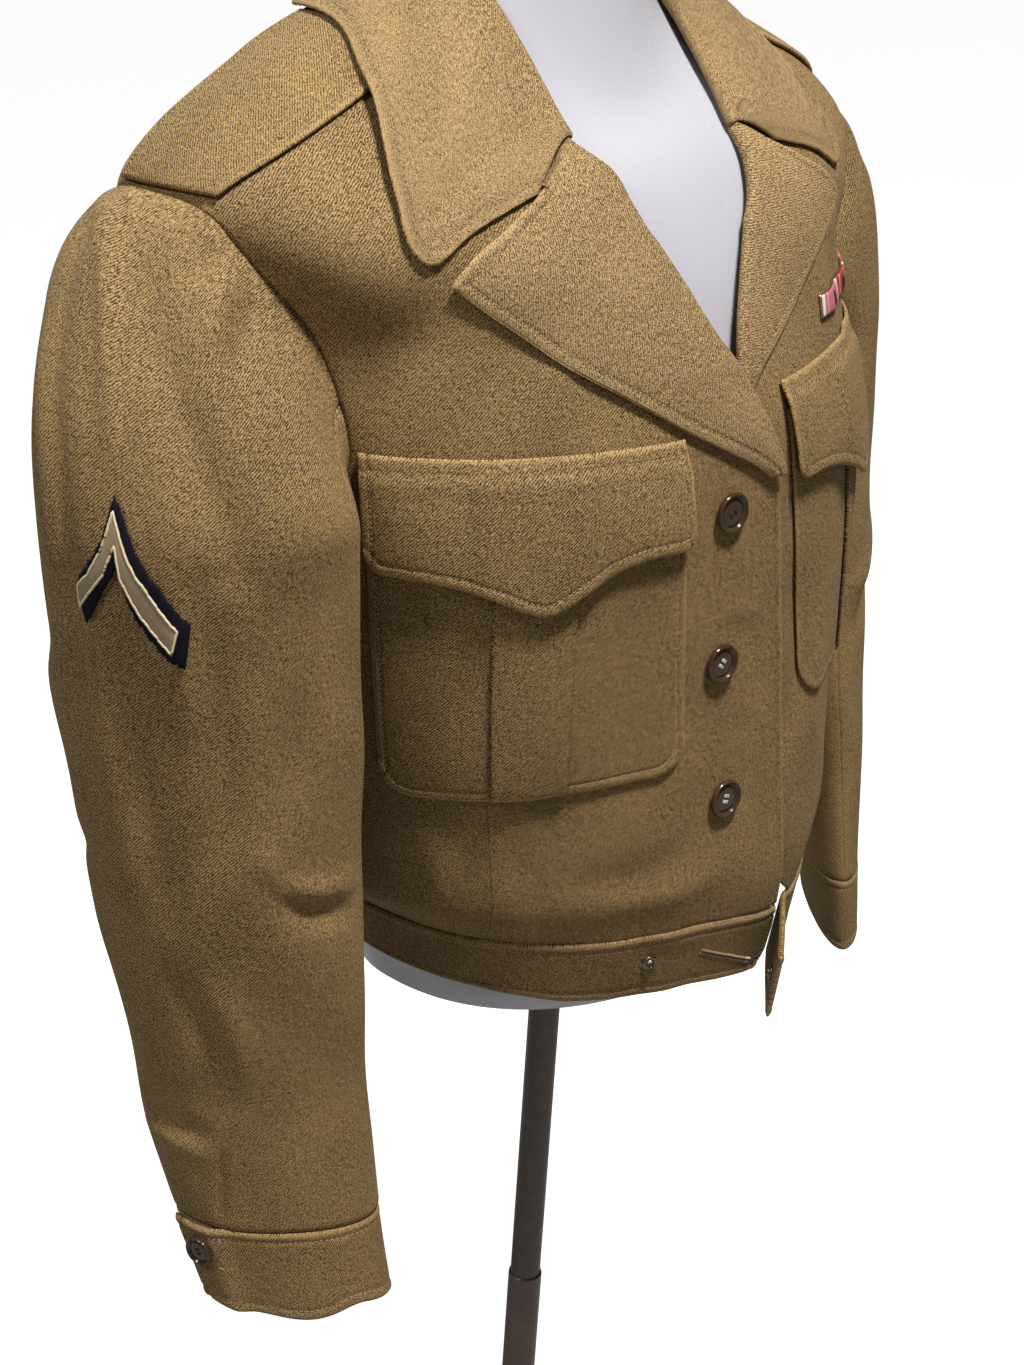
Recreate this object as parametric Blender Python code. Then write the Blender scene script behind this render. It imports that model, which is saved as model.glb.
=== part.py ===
"""Waist-length wool service jacket on a limbless dress form with a telescopic stand.

Lengths are millimetres and heights are measured from the jacket's hem until a mesh is
made; the mesh is in metres with the floor at z = 0. The front faces -Y and the wearer's
right is at -X. Angles run round the body from the centre front, plus to the wearer's
left, and a level is a row number of BODY_RINGS, whole or between two rows.
"""

from math import cos, pi, radians, sin

import bmesh
import bpy
import numpy as np
from mathutils import Matrix, Vector

MM = 0.001
HEM_HEIGHT = 700.0  # floor to the hem at the centre front
GAP = 0.3  # between pieces that are sewn or laid together
WOOL = 2.2  # one layer of serge with its turnings
BAND = 3.6  # waistband and cuffs, two layers and interlining
LEAF = 2.8  # collar and lapels, two layers
FRONT_LAP = 3.2  # how far the right front stands off where it covers the left one
RIGHT_SAG = 18.0  # how far the right front hangs lower at its free edge
LEFT_SAG = 24.0  # and the left one
RIGHT, LEFT = -1, 1

# Rings of the jacket's inner face, hem to neck
# z_front z_side z_back half_width y_front y_side y_back power
BODY_RINGS = np.array([
    (2, 25, 6, 150, -139, 0, 104, 2.2),
    (47, 61, 52, 158, -149, 0, 110, 2.2),
    (78, 84, 80, 174, -154, 0, 119, 2.2),
    (130, 133, 131, 181, -154, 0, 121, 2.2),
    (200, 202, 202, 186, -155, 2, 120, 2.2),
    (270, 272, 274, 192, -158, 4, 119, 2.2),
    (335, 340, 346, 198, -159, 8, 120, 2.2),
    (398, 412, 420, 206, -146, 16, 124, 2.2),
    (448, 484, 490, 228, -125, 34, 125, 2.4),
    (485, 540, 540, 150, -102, 32, 104, 2.1),
    (510, 568, 576, 82, -78, 14, 74, 2.0),
], float)
NECK_LEVEL = 10.0
SHOULDER_LEVEL = 8.0  # the ring that passes over the shoulder's end
BODY_BOTTOM = 1.0  # the seam between body and waistband
SIDE_SEAM = 92.0

# Armhole seam, round from the shoulder's end: turn angle level
ARMHOLE = [
    (0, 91, 8.04),
    (30, 80, 8.00),
    (60, 72, 7.84),
    (90, 67.5, 7.40),
    (120, 65.8, 6.75),
    (150, 67, 6.12),
    (165, 76, 5.90),
    (180, 92, 5.80),
    (210, 110, 6.05),
    (240, 117, 6.55),
    (270, 118, 7.10),
    (300, 115, 7.60),
    (330, 105, 7.95),
    (360, 91, 8.04),
]

# Free edge, roll line and neck edge of each front: level right_angle left_angle
FRONT_EDGE = [
    (1.0, 14.6, -10.0),
    (2.0, 13.0, -9.8),
    (3.0, 12.2, -9.5),
    (4.2, 10.8, -9.2),
    (5.4, 8.6, -9.0),
    (5.9, 5.2, -6.0),
    (6.52, 0.2, 3.0),
    (6.95, -2.8, 5.0),
    (7.4, -4.4, 7.2),
    (7.85, -5.6, 9.4),
    (8.3, -8.0, 14.5),
    (8.72, -12.0, 21.5),
    (9.03, -19.5, 29.0),
    (9.3, -28.0, 38.0),
    (9.6, -40.0, 50.0),
    (10.0, -60.0, 66.0),
]


def smooth_rows(table, position):
    """Catmull-Rom curve through the rows of a table, read at row numbers."""
    last = len(table) - 1
    position = np.clip(np.asarray(position, float), 0, last)
    row = np.minimum(position.astype(int), last - 1)
    t = (position - row)[..., None]
    before = table[np.maximum(row - 1, 0)]
    start = table[row]
    end = table[row + 1]
    after = table[np.minimum(row + 2, last)]
    bend = 2 * before - 5 * start + 4 * end - after
    swing = 3 * (start - end) + after - before
    return start + 0.5 * t * ((end - before) + t * (bend + t * swing))


def spread(table, count):
    """count rows read evenly along a short table, by a smooth curve through its rows."""
    return smooth_rows(np.array(table, float), np.linspace(0, len(table) - 1, count))


def body_skin(angle, level):
    """Point of the jacket's inner face."""
    angle, level = np.broadcast_arrays(np.asarray(angle, float), np.asarray(level, float))
    ring = smooth_rows(BODY_RINGS, level)
    z_front, z_side, z_back, half_width, y_front, y_side, y_back, power = np.moveaxis(ring, -1, 0)
    sine, cosine = np.sin(np.radians(angle)), np.cos(np.radians(angle))
    x = half_width * np.sign(sine) * np.abs(sine) ** (2 / power)
    y_end = np.where(cosine > 0, y_front, y_back)
    z_end = np.where(cosine > 0, z_front, z_back)
    y = y_side + (y_end - y_side) * np.abs(cosine) ** (2 / power)
    z = z_side + (z_end - z_side) * cosine ** 2
    return np.stack([x, y, z], -1)


def body(angle, level, out=0.0):
    """Point that stands out from the jacket's inner face, square to it."""
    angle, level = np.broadcast_arrays(np.asarray(angle, float), np.asarray(level, float))
    across = body_skin(angle + 0.5, level) - body_skin(angle - 0.5, level)
    upward = body_skin(angle, level + 0.02) - body_skin(angle, level - 0.02)
    normal = np.cross(across, upward)
    normal /= np.linalg.norm(normal, axis=-1, keepdims=True)
    return body_skin(angle, level) + normal * np.asarray(out, float)[..., None]


CHART_LEVELS = np.linspace(0, NECK_LEVEL, 101)
CHART_ANGLES = np.linspace(0, 180, 361)
FRONT_HEIGHTS = smooth_rows(BODY_RINGS, CHART_LEVELS)[:, 0]


def level_at(height):
    """Level whose ring has this height at the centre front."""
    return np.interp(height, FRONT_HEIGHTS, CHART_LEVELS)


def angle_after(arc, level, start=0.0):
    """Angle reached by going an arc, in mm, round the ring at a level."""
    arcs, levels = np.broadcast_arrays(np.asarray(arc, float), np.asarray(level, float))
    angles = np.empty(arcs.shape)
    for place in np.ndindex(arcs.shape):
        points = body_skin(CHART_ANGLES, levels[place])
        steps = np.linalg.norm(np.diff(points, axis=0), axis=1)
        lengths = np.concatenate([[0.0], np.cumsum(steps)])
        begin = np.sign(start) * np.interp(abs(start), CHART_ANGLES, lengths)
        reach = begin + arcs[place]
        angles[place] = np.sign(reach) * np.interp(abs(reach), lengths, CHART_ANGLES)
    return angles


def material_of(name, colour, roughness, metallic=0.0):
    material = bpy.data.materials.new(name)
    material.use_nodes = True
    shader = material.node_tree.nodes["Principled BSDF"]
    shader.inputs["Base Color"].default_value = (*colour, 1.0)
    shader.inputs["Roughness"].default_value = roughness
    shader.inputs["Metallic"].default_value = metallic
    material.diffuse_color = (*colour, 1.0)
    return material


def add_object(name, mesh, material, crease=40.0):
    mesh.materials.append(material)
    mesh.shade_smooth()
    mesh.set_sharp_from_angle(angle=radians(crease))
    piece = bpy.data.objects.new(name, mesh)
    bpy.context.scene.collection.objects.link(piece)
    return piece


def mesh_from(name, points, faces):
    """Mesh in metres from points in mm above the hem."""
    lifted = (np.asarray(points, float) + (0.0, 0.0, HEM_HEIGHT)) * MM
    mesh = bpy.data.meshes.new(name)
    mesh.from_pydata(lifted.tolist(), [], faces)
    work = bmesh.new()
    work.from_mesh(mesh)
    bmesh.ops.recalc_face_normals(work, faces=work.faces)
    if work.calc_volume(signed=True) < 0:
        bmesh.ops.reverse_faces(work, faces=work.faces)
    work.to_mesh(mesh)
    work.free()
    return mesh


def grid_faces(rows, columns, first=0, closed=False):
    """Quads of a grid of points; closed joins its last column to its first."""
    faces = []
    for row in range(rows - 1):
        for column in range(columns if closed else columns - 1):
            a = first + row * columns + column
            b = first + row * columns + (column + 1) % columns
            faces.append((a, b, b + columns, a + columns))
    return faces


def wall(name, outer, inner, material, closed=False):
    """Closed cloth wall between two grids of points."""
    rows, columns = outer.shape[:2]
    count = rows * columns
    faces = grid_faces(rows, columns, 0, closed)
    faces += [face[::-1] for face in grid_faces(rows, columns, count, closed)]
    top = (rows - 1) * columns
    for column in range(columns if closed else columns - 1):
        after = (column + 1) % columns
        faces.append((column, column + count, after + count, after))
        faces.append((top + column, top + after, top + after + count, top + column + count))
    if not closed:
        for row in range(rows - 1):
            for side in (0, columns - 1):
                a = row * columns + side
                b = a + columns
                faces.append((a, b, b + count, a + count))
    points = np.concatenate([outer.reshape(-1, 3), inner.reshape(-1, 3)])
    return add_object(name, mesh_from(name, points, faces), material)


def grid_normals(grid, closed=False):
    """Unit normals of a grid of points."""
    along = np.gradient(grid, axis=0)
    if closed:
        across = (np.roll(grid, -1, axis=1) - np.roll(grid, 1, axis=1)) / 2
    else:
        across = np.gradient(grid, axis=1)
    normals = np.cross(across, along)
    return normals / np.linalg.norm(normals, axis=-1, keepdims=True)


def sheet(name, grid, thickness, material, closed=False):
    """Closed cloth wall from its visible face; thickness is laid down behind it."""
    return wall(name, grid, grid - thickness * grid_normals(grid, closed), material, closed)


def between(start, end, count):
    """Rows of evenly spaced values from one column of values to another."""
    share = np.linspace(0, 1, count)
    return np.asarray(start)[:, None] * (1 - share) + np.asarray(end)[:, None] * share


def turned(name, profile, material, place, axis=(0, 0, 1), segments=24):
    """Round piece: (radius, height) pairs of its half section turned about an axis."""
    work = bmesh.new()
    points = [work.verts.new((radius * MM, 0, height * MM)) for radius, height in profile]
    edges = [work.edges.new(pair) for pair in zip(points, points[1:])]
    bmesh.ops.spin(work, geom=points + edges, cent=(0, 0, 0), axis=(0, 0, 1),
                   angle=2 * pi, steps=segments, use_merge=True)
    bmesh.ops.remove_doubles(work, verts=work.verts, dist=1e-6)
    bmesh.ops.recalc_face_normals(work, faces=work.faces)
    mesh = bpy.data.meshes.new(name)
    work.to_mesh(mesh)
    work.free()
    turn = Vector((0, 0, 1)).rotation_difference(Vector([float(part) for part in axis]))
    centre = Vector((float(place[0]), float(place[1]), float(place[2]) + HEM_HEIGHT)) * MM
    mesh.transform(Matrix.Translation(centre) @ turn.to_matrix().to_4x4())
    return add_object(name, mesh, material, crease=35.0)


def ease(value):
    """0 to 1 with a soft start and end."""
    value = np.clip(value, 0, 1)
    return value * value * (3 - 2 * value)


# ---- cloth of the body -------------------------------------------------------------

ARMHOLE_ROWS = spread(ARMHOLE, 97)
HEAD_TURNS = np.array([0, 28, 56, 84, 108, 129, 147, 163, 180.0])


def armhole(turn):
    """Angle (from the front, without sign) and level of the armhole seam at a turn."""
    angle = np.interp(turn, ARMHOLE_ROWS[:, 0], ARMHOLE_ROWS[:, 1])
    level = np.interp(turn, ARMHOLE_ROWS[:, 0], ARMHOLE_ROWS[:, 2])
    return angle, level


LOW_ROWS = 9
TOP_ROWS = 4
FRONT_COLUMNS = 14
BACK_COLUMNS = 20


def panel_seam(turns, gap):
    """Side edge of a panel, hem to neck: side seam, armhole, shoulder seam."""
    low_level = np.linspace(BODY_BOTTOM, armhole(180)[1], LOW_ROWS + 1)[:-1]
    top_level = np.linspace(armhole(0)[1], NECK_LEVEL, TOP_ROWS + 1)[1:]
    angle, level = armhole(turns)
    angles = np.concatenate([np.full(LOW_ROWS, SIDE_SEAM), angle, np.full(TOP_ROWS, SIDE_SEAM - 1)])
    return angles + gap, np.concatenate([low_level, level, top_level])


def panel_middle(rows):
    """Levels of the same rows at the far edge of the panel, evenly spread."""
    low = np.linspace(BODY_BOTTOM, 5.6, LOW_ROWS + 1)[:-1]
    along = np.linspace(5.6, 8.5, rows - LOW_ROWS - TOP_ROWS + 1)[:-1]
    top = np.linspace(8.5, NECK_LEVEL, TOP_ROWS)
    return np.concatenate([low, along, top])


def front_edge_angle(levels, side):
    rows = spread(FRONT_EDGE, 141)
    return np.interp(levels, rows[:, 0], rows[:, 1 if side == RIGHT else 2])


def lap_lift(side, angle, level):
    """How far the right front is lifted, where it lies over the left one."""
    if side == LEFT:
        return 0 * angle
    return FRONT_LAP * ease((angle + 22.0) / 11.0) * np.clip((7.15 - level) / 0.5, 0, 1)


def sag(side, angle, level):
    """How far a front hangs lower towards its free edge, below the chest."""
    if side == RIGHT:
        drop = RIGHT_SAG * ease((angle + 12.0) / 28.0)
    else:
        drop = LEFT_SAG * ease((62.0 - angle) / 40.0) * ease((angle - 13.0) / 12.0)
    return drop * np.clip((5.0 - level) / 4.0, 0, 1)


def front(side, angle, level, out):
    """Point of a front, out from its inner face."""
    angle, level = np.broadcast_arrays(np.asarray(angle, float), np.asarray(level, float))
    points = body(angle, level, lap_lift(side, angle, level) + out)
    points[..., 2] -= sag(side, angle, level)
    return points


def on_front(side, arc, height, out):
    """Point above a front's outer face: arc from the centre front, height of its ring."""
    level = level_at(height)
    return front(side, angle_after(side * arc, level), level, WOOL + out)


def make_front(side, name, material):
    seam, seam_levels = panel_seam(HEAD_TURNS[::-1], -0.1)
    edge_levels = panel_middle(len(seam))
    edge = front_edge_angle(edge_levels, side)
    angles = between(side * seam, edge, FRONT_COLUMNS)
    levels = between(seam_levels, edge_levels, FRONT_COLUMNS)
    wall(name, front(side, angles, levels, WOOL), front(side, angles, levels, 0), material)


def make_back(material):
    seam, seam_levels = panel_seam(360 - HEAD_TURNS[::-1], 0.1)
    middle_levels = panel_middle(len(seam))
    share = np.abs(np.linspace(-1, 1, BACK_COLUMNS))[None]
    angles = between(seam, 360 - seam, BACK_COLUMNS)
    levels = seam_levels[:, None] * share + middle_levels[:, None] * (1 - share)
    wall("back", body(angles, levels, WOOL), body(angles, levels), material)


# ---- waistband ---------------------------------------------------------------------

BAND_LEVELS = np.array([0.0, 0.33, 0.66, 0.97])
RIGHT_BAND_ENDS = (10.6, 13.9, 14.4, 14.0)  # rounded corner at the free end, hem to seam
TAB_ANGLE = 23.4  # where the loose left end leaves the body
TAB_LENGTH = 60.0
TAB_BEND = 11.0
TAB_HEADING = radians(41)  # from straight across towards the front
TAB_SAG = 9.0


def make_right_band(material):
    start = np.full(len(BAND_LEVELS), -SIDE_SEAM + 0.1)
    angles = between(start, RIGHT_BAND_ENDS, 15)
    rows = np.repeat(BAND_LEVELS[:, None], 15, axis=1)
    outer = front(RIGHT, angles, rows, BAND)
    wall("waistband_right", outer, front(RIGHT, angles, rows, 0), material)


def make_back_band(material):
    angles = np.linspace(SIDE_SEAM + 0.1, 359.9 - SIDE_SEAM, 20)
    angles, rows = np.meshgrid(angles, BAND_LEVELS)
    wall("waistband_back", body(angles, rows, BAND), body(angles, rows), material)


def tab_plan():
    """Plan of the loose end from the body: steps across and towards the front."""
    turns = TAB_HEADING * np.linspace(0.25, 1, 4)
    bend = np.stack([-TAB_BEND * np.sin(turns), -TAB_BEND * (1 - np.cos(turns))], -1)
    reach = TAB_LENGTH * np.linspace(0.25, 1, 4)[:, None]
    heading = np.array([-cos(TAB_HEADING), -sin(TAB_HEADING)])
    return np.concatenate([bend, bend[-1] + reach * heading])


def left_band_grid():
    angles = np.linspace(SIDE_SEAM - 0.1, TAB_ANGLE, 11)
    on_body = np.stack([front(LEFT, angles, level, BAND) for level in BAND_LEVELS])
    plan = tab_plan()
    loose = np.repeat(on_body[:, -1:], len(plan), axis=1)
    loose[..., :2] += plan
    loose[..., 2] -= TAB_SAG * np.linspace(0, 1, len(plan)) ** 2
    return np.concatenate([on_body, loose], axis=1)[:, ::-1]


def make_left_band(material):
    sheet("waistband_left", left_band_grid(), BAND, material)


# ---- lapels and collar -------------------------------------------------------------

# Rows of a lapel, up from the break: roll angle, roll level, edge angle, edge level
RIGHT_LAPEL = [
    (8.1, 5.60, 5.2, 5.62),
    (5.7, 5.90, -1.5, 5.93),
    (3.3, 6.20, -9.9, 6.24),
    (0.7, 6.52, -18.0, 6.56),
    (-2.3, 6.95, -27.2, 6.92),
    (-4.0, 7.40, -33.0, 7.30),
    (-5.2, 7.85, -36.6, 7.62),
    (-7.5, 8.30, -31.0, 7.88),
    (-11.4, 8.72, -26.0, 8.13),
    (-18.2, 8.99, -21.2, 8.38),
]
LEFT_LAPEL = [
    (2.8, 6.55, 6.0, 6.50),
    (4.6, 6.95, 16.5, 6.92),
    (5.9, 7.22, 23.5, 7.20),
    (7.3, 7.55, 29.0, 7.44),
    (8.8, 7.85, 32.8, 7.64),
    (12.2, 8.16, 29.0, 7.92),
    (15.8, 8.42, 25.5, 8.16),
    (20.0, 8.68, 23.0, 8.36),
]
DEGREES_PER_MM = 0.27  # near the centre front
TURN_RADIUS = 3.85  # outer radius of the fold at a roll line
TURN_STEPS = np.radians([-90, -45, 0, 45, 90])
LEAF_COLUMNS = 8
# Height of a leaf's visible face above the inner face of the front, roll to edge
LEAF_RISE = [(7.2,), (7.7,), (7.3,), (6.6,), (6.0,)]


def lapel_grids(side, table):
    rows = np.array(table, float)
    roll_angle, roll_level, edge_angle, edge_level = rows.T
    turn_across = TURN_RADIUS * np.cos(TURN_STEPS)
    inner_across = (TURN_RADIUS - LEAF) * np.cos(TURN_STEPS)
    middle = TURN_RADIUS - 0.4
    share = np.linspace(0, 1, LEAF_COLUMNS)[1:]
    rise = spread(LEAF_RISE, LEAF_COLUMNS)[1:, 0]
    grids = []
    for across, radius, drop in ((turn_across, TURN_RADIUS, 0), (inner_across, TURN_RADIUS - LEAF, LEAF)):
        turn_angle = roll_angle[:, None] - side * DEGREES_PER_MM * (across + 0.5)
        turn_level = np.repeat(roll_level[:, None], len(TURN_STEPS), axis=1)
        turn_out = np.repeat((middle + radius * np.sin(TURN_STEPS))[None], len(rows), axis=0)
        leaf_angle = roll_angle[:, None] * (1 - share) + edge_angle[:, None] * share
        leaf_level = roll_level[:, None] * (1 - share) + edge_level[:, None] * share
        leaf_out = np.repeat((rise - drop)[None], len(rows), axis=0)
        angle = np.concatenate([turn_angle, leaf_angle], axis=1)
        level = np.concatenate([turn_level, leaf_level], axis=1)
        out = np.concatenate([turn_out, leaf_out], axis=1)
        grids.append(front(side, angle, level, out))
    return grids


def make_lapel(side, name, table, material):
    outer, inner = lapel_grids(side, table)
    wall(name, outer, inner, material)


# Sections of the collar, notch to centre back
# seam_angle seam_level stand lean edge_angle edge_level edge_out
RIGHT_COLLAR = [
    (20.6, 9.10, 0, 0.00, 22.4, 8.46, 5.8),
    (23.0, 9.18, 2, 0.08, 30.0, 8.13, 5.8),
    (26.2, 9.28, 4, 0.20, 38.4, 7.80, 6.5),
    (32.0, 9.44, 8, 0.35, 44.0, 8.25, 9.7),
    (41.0, 9.66, 13, 0.50, 54.5, 8.74, 12.1),
    (53.0, 9.92, 18, 0.62, 65.0, 9.08, 11.4),
    (70.0, 10.0, 23, 0.72, 76.0, 9.32, 10.6),
    (90.0, 10.0, 27, 0.80, 92.0, 9.42, 10.6),
    (112.0, 10.0, 30, 0.86, 112.0, 9.42, 9.4),
    (135.0, 10.0, 32, 0.90, 135.0, 9.38, 7.0),
    (158.0, 10.0, 33, 0.92, 158.0, 9.34, 6.2),
    (180.0, 10.0, 33, 0.92, 180.0, 9.33, 6.2),
]
LEFT_COLLAR = [
    (22.2, 8.79, 0, 0.00, 24.0, 8.44, 5.8),
    (25.0, 8.91, 1, 0.05, 29.0, 8.20, 5.8),
    (28.6, 9.05, 2, 0.12, 35.4, 7.88, 6.0),
    (34.6, 9.25, 4, 0.22, 42.0, 8.28, 7.4),
    (44.5, 9.53, 6, 0.45, 53.0, 8.74, 10.4),
    (56.5, 9.83, 9, 0.75, 65.0, 9.08, 11.4),
    (72.0, 10.0, 12, 0.95, 76.0, 9.32, 11.6),
    (90.0, 10.0, 17, 1.00, 92.0, 9.42, 11.2),
    (112.0, 10.0, 24, 0.96, 112.0, 9.42, 9.4),
    (135.0, 10.0, 32, 0.90, 135.0, 9.38, 7.0),
    (158.0, 10.0, 33, 0.92, 158.0, 9.34, 6.2),
    (180.0, 10.0, 33, 0.92, 180.0, 9.33, 6.2),
]
COLLAR_ROWS = 12
FALL_COLUMNS = 6
FALL_BULGE = 2.0


def unit(vectors):
    return vectors / np.linalg.norm(vectors, axis=-1, keepdims=True)


def collar_section(row):
    """Outer and inner faces of one section: inside of the stand, fold, then the fall."""
    seam_angle, seam_level, stand, lean, edge_angle, edge_level, edge_out = row
    seam = body(-seam_angle, seam_level, 0)
    normal = unit(body(-seam_angle, seam_level, 1) - seam)
    across = body_skin(-seam_angle + 4.0, seam_level) - body_skin(-seam_angle, seam_level)
    upward = body_skin(-seam_angle, seam_level) - body_skin(-seam_angle, seam_level - 0.3)
    toward_centre = max(0.0, 1 - (seam_angle - 20.0) / 40.0)
    level_way = unit(unit(upward) * (1 - 0.7 * toward_centre) + unit(across) * toward_centre)
    rising = unit(level_way * (1 - lean) + np.array([0.0, 0.0, 1.0]) * lean)
    outward = unit(normal - rising * np.dot(normal, rising))
    clear = 0.8 + 2.3 * lean + (WOOL + GAP) * max(0.0, float(np.dot(normal, rising)))
    centre = seam + rising * (stand + clear) + outward * (TURN_RADIUS - 0.4)
    edge_outer = body(-edge_angle, edge_level, edge_out)
    edge_normal = unit(body(-edge_angle, edge_level, 1) - body_skin(-edge_angle, edge_level))
    outer, inner = [], []
    for share in (0.0, 0.5):
        start = seam + rising * (clear + stand * share)
        outer.append(start - outward * 0.4)
        inner.append(start + outward * (LEAF - 0.4))
    for swing in TURN_STEPS:
        way = rising * cos(swing) + outward * sin(swing)
        outer.append(centre + way * TURN_RADIUS)
        inner.append(centre + way * (TURN_RADIUS - LEAF))
    top = outer[-1]
    reach = np.linalg.norm(edge_outer - top)
    flat = unit(edge_outer - body(-edge_angle, edge_level + 0.25, edge_out))
    for share in np.linspace(0, 1, FALL_COLUMNS + 1)[1:]:
        t = share
        leave = -rising * reach * 0.55
        arrive = flat * reach * 0.8
        point = (top * (1 + 2 * t) * (1 - t) ** 2 + leave * t * (1 - t) ** 2
                 + edge_outer * t * t * (3 - 2 * t) + arrive * t * t * (t - 1))
        point = point + edge_normal * FALL_BULGE * sin(pi * t)
        outer.append(point)
        inner.append(point - unit(outward * (1 - t) + edge_normal * t) * LEAF)
    return np.array(outer), np.array(inner)


def make_collar(material):
    right = [collar_section(row) for row in spread(RIGHT_COLLAR, COLLAR_ROWS)]
    left = [collar_section(row) for row in spread(LEFT_COLLAR, COLLAR_ROWS)[-2::-1]]
    flip = np.array([-1.0, 1.0, 1.0])
    outer = np.array([section[0] for section in right] + [section[0] * flip for section in left])
    inner = np.array([section[1] for section in right] + [section[1] * flip for section in left])
    wall("collar", outer, inner, material)


# ---- pockets -----------------------------------------------------------------------

POCKET_INNER = 40.0  # arc from the centre front to the pocket's inner edge
POCKET_OUTER = 216.0
POCKET_TOP = 329.0
POCKET_BOTTOM = 154.0
POCKET_CORNER = 20.0
POCKET_BELLY = 4.0
POCKET_COLUMNS = 15
POCKET_ROWS = 8
LAID = 0.45  # a piece lying on a curved panel, with the chords of both allowed for
PLEAT_BOTTOM = (110.0, 151.0)
PLEAT_TOP = (102.0, 145.0)
LEFT_POCKET_RISE = 13.0
LEFT_POCKET_SLANT = 0.13

# Bottom edge of the right flap: arc height
FLAP_EDGE = [
    (38.5, 296.0),
    (41.0, 290.5),
    (47.0, 288.5),
    (58.0, 289.0),
    (71.0, 288.0),
    (85.0, 284.5),
    (99.0, 278.5),
    (111.0, 271.5),
    (121.5, 267.5),
    (133.0, 271.5),
    (146.0, 278.5),
    (160.0, 283.5),
    (178.0, 288.0),
    (192.0, 290.0),
    (202.0, 293.0),
    (207.0, 301.0),
]
FLAP_TOP_INNER = 345.0
FLAP_TOP_OUTER = 351.0
FLAP_DROPS = np.array([0.0, 6.0, 14.0, 26.0, 40.0, 56.0, 72.0]) / 72.0


def pocket_place(side, arc, height):
    """Arc and height on a front; the left pocket sits higher and slants outward."""
    if side == RIGHT:
        return arc, height
    slant = LEFT_POCKET_SLANT * (345.0 - height)
    return arc + 2.0 + slant * (1 - 0.6 * (arc - POCKET_INNER) / 177.0), height + LEFT_POCKET_RISE


def belly(arc, height):
    """How far the bag stands out in its middle."""
    across = np.clip((arc - POCKET_INNER) / (POCKET_OUTER - POCKET_INNER), 0, 1)
    upward = np.clip((height - POCKET_BOTTOM) / (POCKET_TOP - POCKET_BOTTOM), 0, 1)
    return POCKET_BELLY * np.sin(pi * across) ** 0.7 * np.sin(pi * upward ** 0.8) ** 0.7


def pocket_edge_rise(arc):
    """Height of the bag's bottom edge above its lowest point, with rounded corners."""
    reach = np.minimum(arc - POCKET_INNER, POCKET_OUTER - arc)
    into = np.clip(POCKET_CORNER - reach, 0, POCKET_CORNER)
    return POCKET_CORNER - np.sqrt(POCKET_CORNER ** 2 - into ** 2 * 0.98)


def pocket_piece(side, name, arc, height, low, high, material):
    place = pocket_place(side, arc, height)
    wall(name, on_front(side, *place, high), on_front(side, *place, low), material)


def make_pocket(side, word, material):
    corner = np.array([0.0, 3.0, 9.0])
    middle = np.linspace(22.0, POCKET_OUTER - POCKET_INNER - 22.0, POCKET_COLUMNS - 6)
    across = np.concatenate([corner, middle, POCKET_OUTER - POCKET_INNER - corner[::-1]])
    arc = np.repeat((POCKET_INNER + across)[None], POCKET_ROWS, axis=0)
    bottom = POCKET_BOTTOM + pocket_edge_rise(arc)
    height = bottom + (POCKET_TOP - bottom) * np.linspace(0, 1, POCKET_ROWS)[:, None]
    low = LAID + belly(arc, height)
    pocket_piece(side, "pocket_" + word, arc, height, low, low + WOOL, material)


def make_pleat(side, word, material):
    height = np.linspace(POCKET_BOTTOM + 1.0, POCKET_TOP, POCKET_ROWS)[:, None]
    share = (height - POCKET_BOTTOM) / (POCKET_TOP - POCKET_BOTTOM)
    start = PLEAT_BOTTOM[0] + (PLEAT_TOP[0] - PLEAT_BOTTOM[0]) * share
    end = PLEAT_BOTTOM[1] + (PLEAT_TOP[1] - PLEAT_BOTTOM[1]) * share
    arc = start + (end - start) * np.linspace(0, 1, 6)
    height = np.repeat(height, 6, axis=1)
    low = LAID + belly(arc, height) + WOOL + 0.35
    pocket_piece(side, "pocket_pleat_" + word, arc, height, low, low + WOOL, material)


def make_flap(side, word, material):
    arcs, edge = np.array(FLAP_EDGE).T
    top = FLAP_TOP_INNER + (FLAP_TOP_OUTER - FLAP_TOP_INNER) * (arcs - arcs[0]) / (arcs[-1] - arcs[0])
    height = top + (edge - top) * FLAP_DROPS[:, None]
    arc = np.repeat(arcs[None], len(FLAP_DROPS), axis=0)
    over_bag = ease((top - height) / 15.0)
    over_pleat = ease((arc - 88.0) / 12.0) * ease((160.0 - arc) / 12.0)
    low = LAID + over_bag * (belly(arc, height) + WOOL + 0.4 + over_pleat * (WOOL + 0.7))
    pocket_piece(side, "flap_" + word, arc[::-1], height[::-1], low[::-1], low[::-1] + WOOL + 0.4, material)


# ---- shoulder straps ---------------------------------------------------------------

# Strap on the shoulder, armhole to under the collar: level front_angle back_angle
STRAP = [
    (8.06, 73.5, 97.0),
    (8.40, 66.0, 98.0),
    (8.80, 61.5, 99.0),
    (9.15, 60.5, 101.0),
    (9.44, 66.0, 102.0),
]
STRAP_THICK = 3.2
STRAP_OFF = 0.9


def make_strap(side, word, material):
    rows = spread(STRAP, 9)
    angles = side * between(rows[:, 1], rows[:, 2], 8)
    levels = np.repeat(rows[:, :1], 8, axis=1)
    low = WOOL + STRAP_OFF
    wall("shoulder_strap_" + word, body(angles, levels, low + STRAP_THICK), body(angles, levels, low), material)


# ---- sleeves -----------------------------------------------------------------------

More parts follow.
